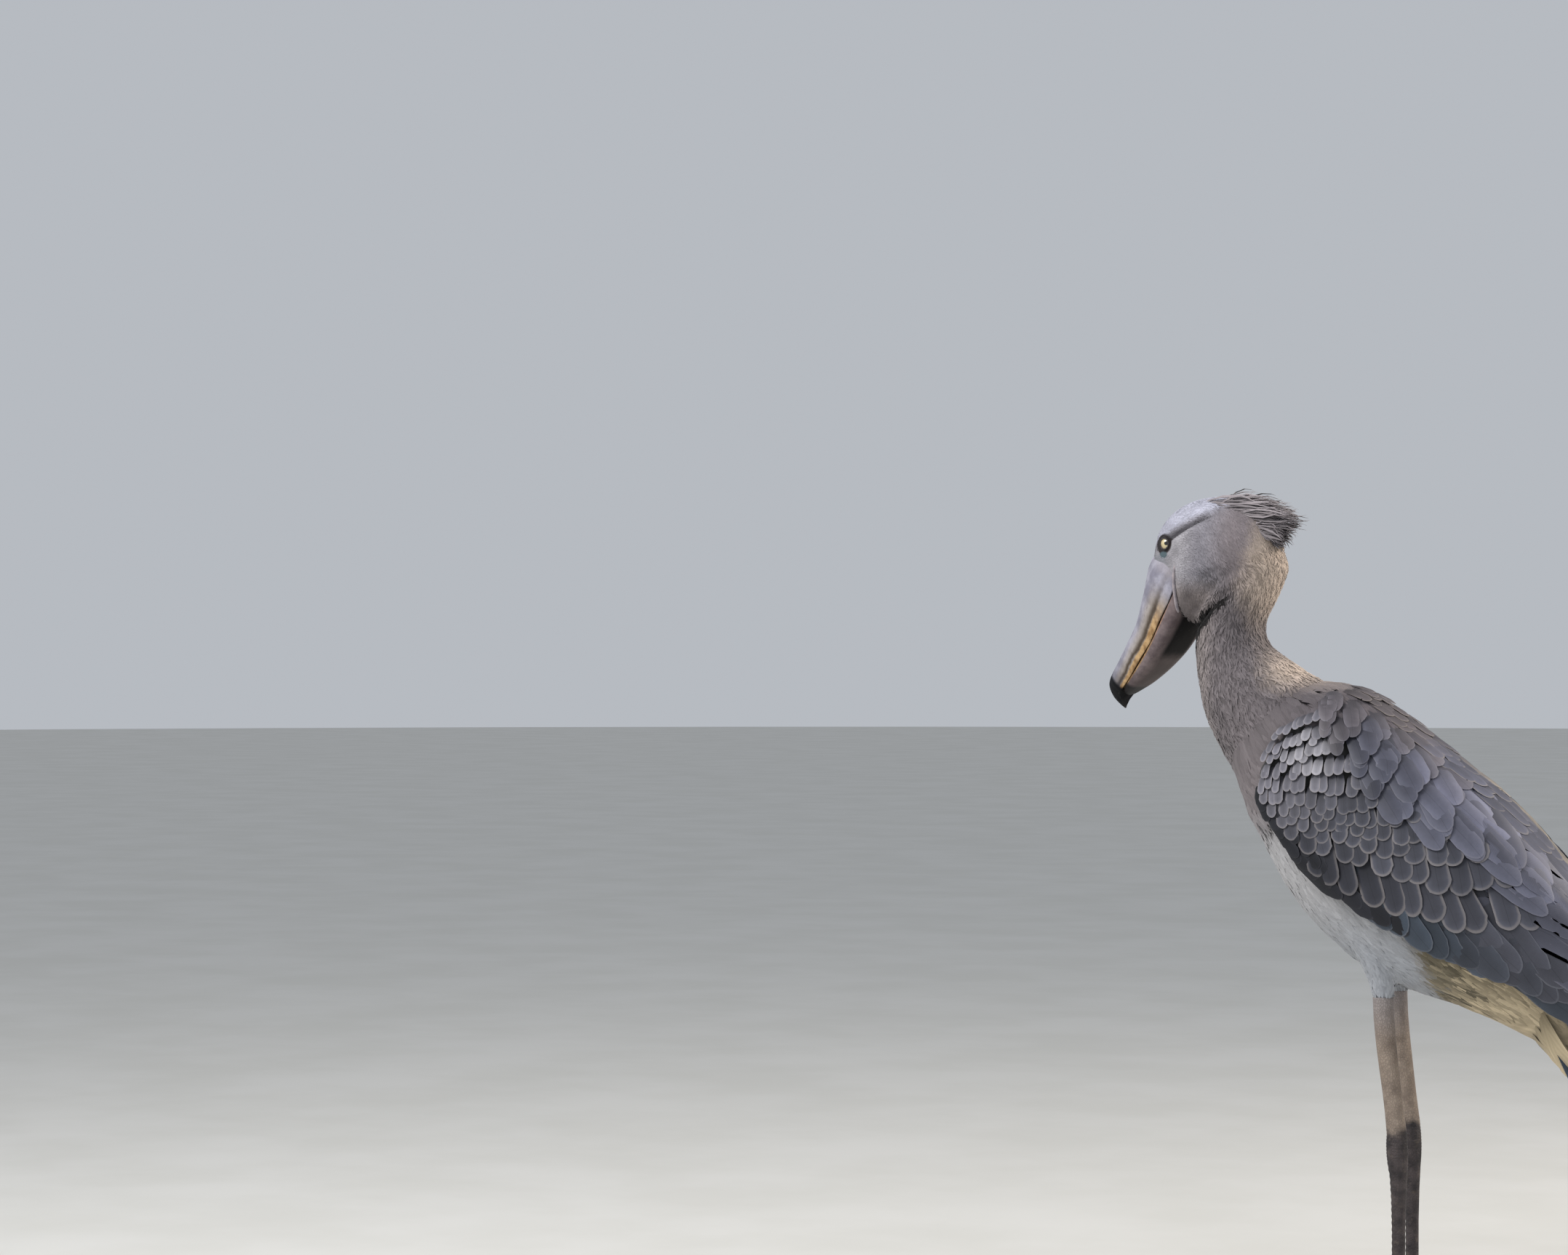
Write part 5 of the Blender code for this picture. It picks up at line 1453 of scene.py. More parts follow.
@dataclass
class Wing:
    """One folded wing: a body painted as shade under tiers of feathers.

    Args:
        stance: The bird's stance.
        side: -1 is the left wing, 1 the right.
        draw: Seeded random numbers.
    """

    stance: Stance
    side: int
    draw: np.random.Generator
    root_depth: float = 0.0042
    # Wing surface sections: place along the trunk axis, middle, half depth and half width across it.
    stations: tuple = (
        (-0.575, 0.518, 0.098, 0.101), (-0.53, 0.508, 0.124, 0.117), (-0.46, 0.498, 0.138, 0.128), (-0.38, 0.491,
        0.145, 0.133), (-0.3, 0.49, 0.145, 0.132), (-0.22, 0.493, 0.13, 0.123), (-0.14, 0.502, 0.105, 0.103), (-0.06,
        0.509, 0.077, 0.079), (0.01, 0.513, 0.055, 0.056), (0.08, 0.513, 0.034, 0.037),
    )
    edge: tuple = (
        (-0.575, 0.492), (-0.55, 0.466), (-0.51, 0.45), (-0.46, 0.441), (-0.41, 0.432), (-0.358, 0.431), (-0.308,
        0.437), (-0.258, 0.447), (-0.2, 0.461), (-0.144, 0.473), (-0.1, 0.488), (-0.047, 0.503), (0.062, 0.509),
    )
    flight: tuple = (
        Row(7, ((-0.03, 0.497), (0.072, 0.512)), (0.215, 0.215), (0.036, 0.036), (4.0, 2.0), -0.0015, Outline.QUILL,
            -0.0012, 0.001),
        Row(16, ((-0.305, 0.447), (-0.215, 0.463), (-0.12, 0.49), (-0.02, 0.519)), (0.12, 0.15), (0.034, 0.036),
            (27.0, 13.0), 0.001),
        Row(7, ((-0.15, 0.5), (-0.01, 0.545)), (0.15, 0.16), (0.038, 0.04), (18.0, 8.0), 0.002),
    )
    band: tuple = (
        Row(7, ((-0.405, 0.438), (-0.33, 0.443), (-0.262, 0.456)), (0.105, 0.105), (0.024, 0.026), (3.0, 7.0), 0.0022,
            Outline.QUILL),
        Row(9, ((-0.516, 0.458), (-0.457, 0.44), (-0.4, 0.437)), (0.04, 0.055), (0.016, 0.021), (18.0, 5.0), 0.003,
            stray=0.004),
        Row(8, ((-0.508, 0.468), (-0.445, 0.452), (-0.398, 0.447)), (0.034, 0.048), (0.016, 0.021), (22.0, 9.0),
            0.0036, stray=0.004),
    )
    coverts: tuple = (
        Row(11, ((-0.405, 0.441), (-0.385, 0.443), (-0.348, 0.451), (-0.319, 0.462), (-0.27, 0.478), (-0.225, 0.498),
            (-0.177, 0.527), (-0.15, 0.56)), (0.08, 0.092), (0.031, 0.035), (40.0, 32.0), 0.0034),
        Row(11, ((-0.428, 0.456), (-0.384, 0.48), (-0.339, 0.497), (-0.294, 0.512), (-0.2405, 0.5415), (-0.205,
            0.572)), (0.06, 0.07), (0.028, 0.032), (41.0, 34.0), 0.0042),
        Row(12, ((-0.457, 0.455), (-0.4355, 0.474), (-0.39, 0.498), (-0.34, 0.522), (-0.29, 0.545), (-0.255, 0.575)),
            (0.048, 0.06), (0.0225, 0.0285), (42.0, 35.0), 0.0048),
        Row(13, ((-0.483, 0.456), (-0.462, 0.47), (-0.427, 0.492), (-0.378, 0.52), (-0.33, 0.546), (-0.3, 0.572)),
            (0.042, 0.052), (0.019, 0.025), (44.0, 36.0), 0.0052),
        Row(13, ((-0.4985, 0.461), (-0.47, 0.482), (-0.419, 0.512), (-0.37, 0.542), (-0.345, 0.566)), (0.036, 0.045),
            (0.0165, 0.0225), (46.0, 38.0), 0.0055),
        Row(13, ((-0.52, 0.463), (-0.492, 0.484), (-0.4475, 0.508), (-0.41, 0.535), (-0.385, 0.562)), (0.032, 0.04),
            (0.0145, 0.02), (48.0, 40.0), 0.0058),
        Row(13, ((-0.534, 0.474), (-0.508, 0.495), (-0.468, 0.521), (-0.435, 0.545), (-0.418, 0.568)), (0.028, 0.035),
            (0.0128, 0.0175), (50.0, 42.0), 0.006),
        Row(12, ((-0.544, 0.487), (-0.52, 0.508), (-0.488, 0.534), (-0.462, 0.556), (-0.45, 0.574)), (0.025, 0.031),
            (0.0115, 0.0155), (52.0, 44.0), 0.0062),
        Row(11, ((-0.552, 0.502), (-0.532, 0.522), (-0.505, 0.547), (-0.487, 0.57)), (0.023, 0.028), (0.0108, 0.014),
            (54.0, 46.0), 0.0064),
        Row(9, ((-0.557, 0.518), (-0.54, 0.538), (-0.52, 0.561), (-0.508, 0.58)), (0.021, 0.026), (0.0104, 0.013),
            (54.0, 46.0), 0.0066),
        Row(7, ((-0.561, 0.536), (-0.545, 0.558), (-0.53, 0.584)), (0.02, 0.024), (0.0104, 0.013), (54.0, 46.0),
            0.0067),
    )
    scapulars: tuple = (
        Row(5, ((0.018, 0.529), (-0.058, 0.58)), (0.205, 0.205), (0.044, 0.046), (3.0, 2.0), 0.0026, Outline.QUILL,
            0.0008),
        Row(6, ((-0.096, 0.57), (-0.13, 0.604)), (0.165, 0.165), (0.038, 0.042), (4.0, 1.0), 0.0042, Outline.QUILL,
            0.0005, 0.004),
        Row(7, ((-0.149, 0.578), (-0.185, 0.612)), (0.145, 0.14), (0.036, 0.04), (6.0, 1.0), 0.0052, Outline.QUILL,
            0.0004, 0.004),
        Row(7, ((-0.2, 0.582), (-0.235, 0.62)), (0.128, 0.12), (0.034, 0.038), (9.0, 2.0), 0.006, Outline.QUILL,
            0.0004, 0.004),
        Row(7, ((-0.25, 0.58), (-0.285, 0.627)), (0.114, 0.105), (0.032, 0.036), (12.0, 3.0), 0.0068, Outline.SCALE,
            0.0003, 0.004),
        Row(7, ((-0.3, 0.568), (-0.334, 0.628)), (0.102, 0.094), (0.031, 0.034), (16.0, 4.0), 0.0074, Outline.SCALE,
            0.0003, 0.004),
        Row(8, ((-0.355, 0.556), (-0.38, 0.626)), (0.09, 0.082), (0.029, 0.032), (20.0, 6.0), 0.008, Outline.SCALE,
            0.0002, 0.003),
        Row(8, ((-0.4, 0.56), (-0.422, 0.624)), (0.076, 0.07), (0.026, 0.03), (24.0, 8.0), 0.0084, Outline.SCALE,
            0.0002, 0.003),
        Row(8, ((-0.44, 0.57), (-0.46, 0.62)), (0.062, 0.058), (0.022, 0.027), (28.0, 12.0), 0.0086, Outline.SCALE,
            0.0002, 0.003),
        Row(7, ((-0.478, 0.574), (-0.496, 0.614)), (0.05, 0.048), (0.019, 0.024), (32.0, 16.0), 0.0086, Outline.SCALE,
            0.0, 0.003),
        Row(7, ((-0.512, 0.578), (-0.53, 0.606)), (0.042, 0.04), (0.016, 0.021), (36.0, 20.0), 0.0084, Outline.SCALE,
            0.0, 0.003),
    )
    slate: Colour = paint(69, 70, 79)
    # Dark slate for the dark band and darker tiers, also painted shade at the front of the scapulars.
    deep: Colour = paint(33, 34, 41)
    lace: Colour = paint(122, 120, 129)
    pale: Colour = paint(150, 148, 154)
    teal: Colour = paint(54, 68, 80)
    bloom: Colour = paint(90, 91, 105)
    # Painted highlight: the lighter top of the scapulars.
    painted_sheen: Colour = paint(118, 119, 138)
    brown: Colour = paint(98, 92, 96)

    def __post_init__(self) -> None:
        """Smooths the sections."""
        self.smooth = smooth_rows(self.stations, 80)

    def _oval(self, along: Array) -> list[Array]:
        """Middle, half depth and half width of the wing's surface."""
        return [np.interp(along, self.smooth[:, 0], self.smooth[:, k]) for k in (1, 2, 3)]

    def turn_at(self, along: Array, across: Array) -> Array:
        """The turn round the wing's oval that lies at a height across the trunk."""
        middle, depth, _ = self._oval(along)
        share = np.clip((across - middle) / depth, -0.999, 0.999)
        return np.arccos(np.sign(share) * np.abs(share) ** (OVAL / 2))

    def _surface(self, along: Array, turn: Array) -> Array:
        """Points of the wing's surface."""
        middle, depth, half = self._oval(along)
        c, s = np.cos(turn), np.sin(turn)
        across = middle + np.sign(c) * np.abs(c) ** (2 / OVAL) * depth
        return self.stance.trunk_points(along, self.side * np.abs(s) ** (2 / OVAL) * half, across)

    def on(self, along: Array, turn: Array, lift: Array) -> tuple[Array, Array]:
        """Points over the wing's surface, and the ways out of it."""
        here = self._surface(along, turn)
        run = self._surface(along + 0.004, turn) - self._surface(along - 0.004, turn)
        round_by = self._surface(along, turn + 0.03) - self._surface(along, np.maximum(turn - 0.03, 0.002))
        way = unit(np.cross(run, round_by))
        facing = ((here - self.stance.trunk_points(along, 0.0, self._oval(along)[0])) * way).sum(1)
        way = way * np.where(facing < 0, -1.0, 1.0)[:, None]
        return here + way * lift[:, None], way

    def _core(self) -> Array:
        """Rings of the wing's body, which shows only between its feathers, as painted shade."""
        tops, unders = [], []
        edge = np.array(self.edge)
        for along in np.linspace(-0.56, -0.078, 40):
            low = float(np.interp(along, edge[:, 0], edge[:, 1])
                        + np.interp(along, (-0.5, -0.34, -0.24), (0.004, 0.005, 0.02)))
            high = float(np.interp(along, (-0.57, -0.49, -0.38, -0.25), (0.98, 0.62, 0.42, 0.3)))
            thick = float(np.interp(along, (-0.3, -0.16, -0.095, -0.07), (0.045, 0.03, 0.01, 0.005)))
            turns = np.linspace(high, float(self.turn_at(np.array([along]), np.array([low]))[0]), 26)
            run = np.full(26, along)
            edge_share = np.minimum(np.arange(26), np.arange(26)[::-1]) / 25
            fall = 0.0038 + 0.0035 * np.maximum(0.0, 1 - edge_share * 9)
            tops.append(self.on(run, turns, -fall)[0])
            unders.append(self.on(run, turns, -fall - thick)[0])
        return np.concatenate([np.array(tops), np.array(unders)[:, ::-1]], axis=1)

    def _tips(self, row: Row) -> tuple[Array, Array]:
        """Where a row's tips lie, evenly along their line."""
        line = np.array(row.tips)
        reach = np.concatenate([[0], np.cumsum(np.linalg.norm(np.diff(line, axis=0), axis=1))])
        places = np.linspace(0, reach[-1], row.count)
        return np.interp(places, reach, line[:, 0]), np.interp(places, reach, line[:, 1])

    def _colours(self, rows: tuple, along: Array, across: Array) -> Array:
        """Colour of each feather by its tier and the place of its tip, with painted shade at the front of the
        scapulars and a painted highlight along their top.
        """
        base = np.broadcast_to(self.slate, (len(along), 3))
        if rows is self.flight:
            return over(base, (self.deep, step(along, -0.16, -0.3) * 0.5),
                        (self.teal, step(across - 0.16 * along, 0.515, 0.5) * 0.5))
        if rows is self.band:
            return over(base, (self.deep, 1.0))
        if rows is self.coverts:
            patch = step(np.abs(along + 0.503), 0.042, 0.026) * step(np.abs(across - 0.545), 0.028, 0.018)
            return over(base, (self.lace, step(along + 0.35 * (0.52 - across), -0.4, -0.5) * 0.85),
                        (self.deep, step(across - 0.12 * along, 0.512, 0.5) * 0.55), (self.pale, patch * 0.75))
        brown = np.maximum(step(across, 0.605, 0.625) * step(along, -0.28, -0.36), step(along, -0.44, -0.5))
        return over(base, (self.bloom, 0.85),
                    # Painted shade at the front of the scapulars, and a painted highlight along their top.
                    (self.deep, step(across, 0.606, 0.578) * step(along, -0.34, -0.4) * 0.45),
                    (self.painted_sheen, step(across, 0.585, 0.61) * step(along, -0.42, -0.36) * 0.7),
                    (self.brown, brown * 0.8))

    def _batch(self, row: Row, rows: tuple) -> tuple[Batch, Array, Array]:
        """One row's feathers, with the place of each on the wing's own unwrap and its colour."""
        n, draw = row.count, self.draw
        along, across = self._tips(row)
        along = along + draw.uniform(-1.4, 1.4, n) * row.stray
        across = across + draw.uniform(-1.0, 1.0, n) * row.stray
        slope = np.radians(np.linspace(*row.steeper, n)) + draw.normal(0, 0.07, n)
        long = np.linspace(*row.length, n) * draw.uniform(0.92, 1.08, n)
        start = np.maximum(along - long * np.cos(slope), -0.568)
        middle, depth, _ = self._oval(start)
        top = np.minimum(across + long * np.sin(slope), middle + depth - 0.004)
        turn_a, turn_b = self.turn_at(start, top), self.turn_at(along, across)
        lift = row.lift + row.step * np.arange(n) + draw.uniform(-0.0006, 0.0006, n)
        lift = lift * (1 - 0.65 * step(across, 0.59, 0.622))
        flare = draw.uniform(0.0, 0.001, n)
        root, root_way = self.on(start, turn_a, np.full(n, -self.root_depth))
        half_way, _ = self.on((start + along) / 2, (turn_a + turn_b) / 2, lift * 0.72)
        tip, tip_way = self.on(along, turn_b, lift + flare)
        half = np.linspace(*row.width, n) / 2 * draw.uniform(0.92, 1.08, n)
        roll = self.side * np.full(n, -0.045) + draw.normal(0, 0.025, n)
        batch = Batch(row.outline, root, half_way, tip, root_way, tip_way, half, np.full(n, 0.0005),
                      draw.uniform(0.03, 0.1, n), roll)
        places = np.stack([(start + 0.6) / 0.72, turn_a / 2.6], 1)
        colours = self._colours(rows, along, across) * draw.uniform(0.8, 1.18, n)[:, None]
        return batch, np.clip(places, 0.03, 0.97), colours

    def build(self) -> None:
        """Makes the wing's body and its tiers of feathers."""
        word = "left" if self.side < 0 else "right"
        core = from_rings(f"wing_body_{word}", self._core())
        # Painted shade: the body is very dark, for the shade between the feathers.
        put_colour(core.data, np.full((len(core.data.vertices), 3), 0.035))
        placed(core, CoatFinish("wing_body", on_tufts=False), "wing_feathers")
        tiers = ((self.flight, FLIGHT_FINISH, 0.03), (self.band, BAND_FINISH, 0.02),
                 (self.coverts, COVERT_FINISH, 0.02), (self.scapulars, SCAPULAR_FINISH, 0.03))
        for rows, finish, patch in tiers:
            coat = Coat(f"{finish.name}_{word}", self.draw, 0.035, patch)
            for row in rows:
                coat.add(*self._batch(row, rows))
            placed(coat.build(), finish, "wing_feathers", *((f"wing_{word}",) if rows is self.flight else ()))


@dataclass
class Mantle:
    """Broad soft feathers down the spine, over the meeting of the wings."""

    wing: Wing
    draw: np.random.Generator
    reach: Pair = (-0.52, -0.075)  # first and last tip along the trunk

    def build(self) -> None:
        """Makes the feathers, hindmost first."""
        s, wing = self.wing.stance, self.wing
        along = np.repeat(np.linspace(self.reach[1], self.reach[0], 24), 5)
        n = len(along)
        along = along + self.draw.uniform(-0.008, 0.008, n)
        y = np.tile((-0.03, -0.015, 0.0, 0.015, 0.03), 24) + self.draw.uniform(-0.004, 0.004, n)
        long = np.interp(along, (-0.52, -0.3, -0.07), (0.045, 0.085, 0.11)) * self.draw.uniform(0.9, 1.1, n)

        def points(place: Array, share: float, lift: Array | float) -> Array:
            """Places on the wings' oval, nearer the spine by a share."""
            middle, depth, half = wing._oval(place)
            fall = depth * (1 - np.sqrt(np.clip(1 - (y * share / half) ** 2, 0.0, 1.0)))
            return s.trunk_points(place, y * share, middle + depth - fall + lift)

        lift = 0.0055 + self.draw.uniform(-0.001, 0.0016, n)
        way = np.repeat(np.array(s.trunk_up)[None], n, axis=0)
        way[:, 1] += y * 7.0
        batch = Batch(Outline.SCALE, points(along - long, 0.9, -0.001), points(along - long / 2, 0.97, lift * 0.85),
                      points(along, 1.0, lift), unit(way), unit(way),
                      np.interp(along, (-0.52, -0.3, -0.07), (0.0095, 0.0145, 0.0165)), np.full(n, 0.0005),
                      self.draw.uniform(0.1, 0.18, n), self.draw.normal(0, 0.03, n))
        # Painted light: a warm pale rim on the feathers beyond the spine.
        far = step(wing.side * y, -0.002, -0.014) * step(along, -0.4, -0.3)
        base = over(np.broadcast_to(wing.bloom, (n, 3)), (wing.brown, step(along, -0.36, -0.44)),
                    (paint(160, 149, 132), far * 0.7))
        coat = Coat("mantle", self.draw, 0.04, 0.02)
        base = base * self.draw.uniform(0.85, 1.15, n)[:, None]
        coat.add(batch, np.stack([0.5 + y * 6, (along + 0.6) / 0.72], 1), base)
        finish = VaneFinish("mantle", paint(158, 148, 136), rim=0.11, rim_strength=0.45, roughness=0.66)
        placed(coat.build(), finish, "body_feathers")


# ------------ tail and crest
@dataclass
class Tail:
    """Twelve tail feathers with their coverts above and below."""

    stance: Stance
    draw: np.random.Generator
    root: Pair = (-0.075, 0.462)
    tip: Pair = (0.086, 0.414)
    half_fan: float = 0.052
    width: float = 0.04

    def _ways(self, lean: Array) -> Array:
        """Ways out of the tail's upper face."""
        ways = np.repeat(np.array(self.stance.trunk_up)[None], len(lean), axis=0)
        ways[:, 1] += lean
        return unit(ways)

    def _quills(self) -> tuple[Batch, Array]:
        """The twelve long feathers, the middle pair on top."""
        share = np.repeat((np.arange(6) + 0.5) / 6, 2)
        side = np.tile((-1.0, 1.0), 6)
        layer = -0.0015 * np.repeat(np.arange(6), 2) - 0.004 * share**2 + 0.0004 * side
        short = 0.026 * share**2 + self.draw.uniform(0, 0.004, 12)
        end, on = self.tip[0] - short, self.stance.trunk_points
        y_root, y_tip = side * 0.018 * share, side * self.half_fan * share
        root = on(np.full(12, self.root[0]), y_root, self.root[1] + layer)
        middle = on((self.root[0] + end) / 2, y_root + (y_tip - y_root) * 0.57,
                    (self.root[1] + self.tip[1]) / 2 + 0.004 + layer)
        tip = on(end, y_tip, self.tip[1] + layer)
        ways = self._ways(side * 0.16 * share)
        batch = Batch(Outline.QUILL, root, middle, tip, ways, ways, np.full(12, self.width / 2),
                      np.full(12, 0.001), np.full(12, 0.1), -side * 0.04)
        places = np.stack([0.5 + side * share * 0.42, np.full(12, 0.5)], 1)
        return batch, places

    def _coverts(self, above: bool) -> tuple[Batch, Array]:
        """Soft feathers that run over the tail's root, above or below."""
        counts = ((7, -0.1, 0.09), (8, -0.07, 0.085), (8, -0.042, 0.078), (7, -0.02, 0.07))
        rows, on = [], self.stance.trunk_points
        for level, (count, start, long) in enumerate(counts):
            turn = np.linspace(-1.15, 1.15, count) + self.draw.normal(0, 0.05, count)
            begin = np.full(count, start) + self.draw.normal(0, 0.004, count)
            middle, deep, wide = (np.interp(begin, (-0.11, -0.066, -0.015, 0.026), row) for row in (
                (0.485, 0.471, 0.444, 0.429), (0.066, 0.054, 0.027, 0.008), (0.05, 0.043, 0.028, 0.009)))
            sign = 1.0 if above else -1.0
            y = np.sin(turn) * wide
            rise = middle + sign * np.cos(turn) * deep
            end = begin + long * self.draw.uniform(0.92, 1.08, count)
            end_rise = np.interp(end, (-0.03, 0.03, 0.06), (0.452, 0.434, 0.424)) + sign * (0.017 - 0.003 * level)
            end_y = np.sin(turn) * 0.04
            root = on(begin, y * 0.96, rise - sign * 0.005)
            tip = on(end, end_y, end_rise + sign * 0.004 * np.cos(turn))
            half_way = on((begin + end) / 2, (y + end_y) / 2 * 1.08,
                          (rise + end_rise) / 2 + sign * 0.006 * np.cos(turn))
            way = unit(on(np.zeros(count), np.sin(turn), sign * np.cos(turn)) - np.array(self.stance.feet))
            place = np.stack([0.5 + turn * 0.2, np.full(count, 0.16 + level * 0.18)], 1)
            rows.append((root, half_way, tip, way, np.full(count, 0.0145 if above else 0.0125), place))
        root, half_way, tip, way, half, places = (np.concatenate(column) for column in zip(*rows))
        number = len(half)
        batch = Batch(Outline.SCALE, root, half_way, tip, way, way, half, np.full(number, 0.0005),
                      np.full(number, 0.12), self.draw.normal(0, 0.05, number))
        return batch, places

    def build(self) -> None:
        """Makes the long feathers and both sets of coverts."""
        quills = VaneFinish("tail_quills", paint(130, 134, 140), rim=0.05, rim_strength=0.5, halo=0.25, rounded=0.72)
        coat = Coat(quills.name, self.draw, 0.03, 0.03)
        coat.add(*self._quills(), np.repeat([paint(74, 88, 104)], 12, axis=0))
        placed(coat.build(), quills, "tail_feathers", "tail")
        below = CoatFinish("tail_coverts_below", fringe=0.2, roots=0.35)
        for above, name, ragged, colour, uneven, finish, slot in (
                (True, "tail_coverts_above", 0.04, (92, 92, 104), 0.0, COVERT_FINISH, "tail_feathers"),
                (False, below.name, 0.08, (196, 180, 150), 0.1, below, "body_feathers")):
            coat = Coat(name, self.draw, ragged, 0.02)
            batch, places = self._coverts(above)
            colours = np.repeat(np.array([paint(*colour)]), len(places), axis=0)
            if uneven:
                colours = colours * self.draw.uniform(1 - uneven, 1 + uneven, len(places))[:, None]
            coat.add(batch, places, colours)
            placed(coat.build(), finish, slot)


@dataclass
class Crest:
    """The short shaggy tuft that stands out level behind the crown."""

    stance: Stance
    draw: np.random.Generator
    count: int = 1500
    # Where wisps start and where the longest end, from the top down: level distance ahead, height.
    starts: tuple = ((-0.082, 0.0605), (-0.112, 0.056), (-0.134, 0.043), (-0.146, 0.026), (-0.148, 0.012))
    ends: tuple = ((-0.13, 0.063), (-0.165, 0.0535), (-0.196, 0.0355), (-0.182, 0.02), (-0.166, 0.002))

    def build(self) -> None:
        """Makes the wisps, lowest first."""
        s, n, draw = self.stance, self.count, self.draw
        t = np.sort(draw.random(n) ** 0.9)[::-1] * 4
        places = np.arange(5)
        start = np.stack([np.interp(t, places, np.array(self.starts)[:, k]) for k in (0, 1)], 1)
        end = np.stack([np.interp(t, places, np.array(self.ends)[:, k]) for k in (0, 1)], 1)
        reach = draw.uniform(0.42, 1.0, n) ** 0.8
        inward = draw.uniform(0.0, 1.0, n)
        share = np.clip(draw.normal(0, 0.55, n), -1.2, 1.2)
        start = start + np.stack([0.026 * inward, 0.002 * inward], 1) * (t < 3)[:, None]
        end = start + (end - start) * reach[:, None] + draw.normal(0, 0.0042, (n, 2)) - (0.0, 0.002)
        end += draw.normal(0, 0.006, (n, 2)) * (draw.random(n) < 0.3)[:, None] * (1.0, 0.6)
        bow = draw.normal(0.0008, 0.0032, n)
        axes = np.array([s.level, s.left, s.rise])

        def at(share_of: float) -> Array:
            """Where every wisp is at a share of its length."""
            flat = start + (end - start) * share_of
            out = share * (0.026 - 0.012 * np.abs(t / 4 - 0.3)) * (1 - 0.25 * share_of)
            rise = flat[:, 1] + bow * math.sin(math.pi * min(max(share_of, 0.0), 1.0)) - 0.1 * out**2 / 0.026
            return np.stack([flat[:, 0], out, rise], 1) @ axes + np.array(s.feet + s.head_place)

        way = unit(np.outer(np.ones(n), np.array(s.rise)) - np.outer(0.5 * t / 4, np.array(s.level))
                   + np.outer(share * 0.8, np.array(s.left)))
        batch = Batch(Outline.WISP, at(-0.06), at(0.5), at(1.0), way, way, draw.uniform(0.0009, 0.0018, n),
                      np.full(n, 0.0004), np.full(n, 0.25), draw.normal(0, 0.25, n))
        coat = Coat("crest", draw, 0.16, 0.006)
        # Painted shade: the lower wisps are darker, under the upper ones.
        shade = np.interp(t, (0, 1, 4), (1.0, 0.84, 0.7)) * draw.uniform(0.85, 1.1, n)
        shade = shade * (1 + 0.3 * clumps(at(0.8), 0.013, 8))
        places = np.stack([0.5 + share * 0.35, 0.2 + 0.15 * t], 1)
        coat.add(batch, places, np.outer(shade, paint(160, 152, 155)))
        placed(coat.build(), CoatFinish("crest", fringe=0.04, roots=0.2), "head_feathers")


# ------------ face
@dataclass
class Eye:
    """An eyeball and its dark rim.

    Args:
        stance: The bird's stance.
        side: 1 is the left eye, -1 the right.
    """

    stance: Stance
    side: int
    radius: float = 0.0112
    opening: float = 40.0  # half angle of the open part in degrees
    looking: float = math.radians(104.0)  # where the pupil points, from straight ahead

    def __post_init__(self) -> None:
        """Works out where the eye is and which way it looks."""
        s = self.stance
        self.centre = s.in_bill(-0.0056, self.side * 0.0288, -0.002)
        facing = math.radians(82.0)
        gaze = s.forward * 0.1 + s.level * math.cos(facing) + s.left * (self.side * math.sin(facing))
        self.gaze = gaze.normalized()

    def build(self) -> None:
        """Makes the eyeball and the rim."""
        word = "left" if self.side > 0 else "right"
        turn = Vector((0, 0, 1)).rotation_difference(self.gaze)
        bpy.ops.object.select_all(action="DESELECT")
        bpy.ops.mesh.primitive_uv_sphere_add(segments=64, ring_count=44, radius=self.radius)
        ball = bpy.context.active_object
        ball.name = f"eyeball_{word}"
        points = points_of(ball.data)
        off = np.arccos(np.clip(points[:, 2] / self.radius, -1, 1))
        points *= (1 + 0.05 * bell(off, 0.5))[:, None]
        matrix = np.array(turn.to_matrix())
        toward = unit(points) @ matrix.T
        look = self.stance.level * math.cos(self.looking) + self.stance.left * (self.side * math.sin(self.looking))
        put_number(ball.data, "off_gaze", np.arccos(np.clip(toward @ np.array(look), -1, 1)))
        rise, level = toward @ np.array(self.stance.rise), toward @ np.array(self.stance.level)
        put_number(ball.data, "round_gaze", np.arctan2(rise, level))
        put_points(ball.data, points @ matrix.T + np.array(self.centre))
        ball.data.shade_smooth()
        placed(ball, EyeFinish("iris"), "eye", f"eye_{word}")
        self._rim(word, matrix)

    def _rim(self, word: str, matrix: Array) -> None:
        """The bare dark skin that edges the lids."""
        turn = np.linspace(0, 2 * math.pi, 72, endpoint=False)[:, None, None]
        bend = np.linspace(0, 2 * math.pi, 10, endpoint=False)[None, :, None]
        open_by = np.radians(self.opening + 1.0 - 3.0 * np.sin(turn) ** 2)
        level = np.concatenate([np.cos(turn), np.sin(turn)], -1)
        out = np.concatenate([np.sin(open_by) * level, np.cos(open_by)], -1)
        inward = np.concatenate([-np.cos(open_by) * level, np.sin(open_by)], -1)
        thick = 0.00105 + 0.00025 * np.sin(turn * 9.0)
        rings = out * (self.radius + 0.0006 + np.cos(bend) * thick * 0.8) + inward * np.sin(bend) * thick
        spots = rings @ matrix.T + np.array(self.centre)
        closed = np.concatenate([spots, spots[:1]])
        rim = from_rings(f"eyelid_{word}", closed, capped=False)
        outward(rim, merged=True)
        placed(rim, PlainFinish("eyelid", paint(34, 29, 29), paint(58, 54, 56), 900.0, 0.55), "head_feathers")


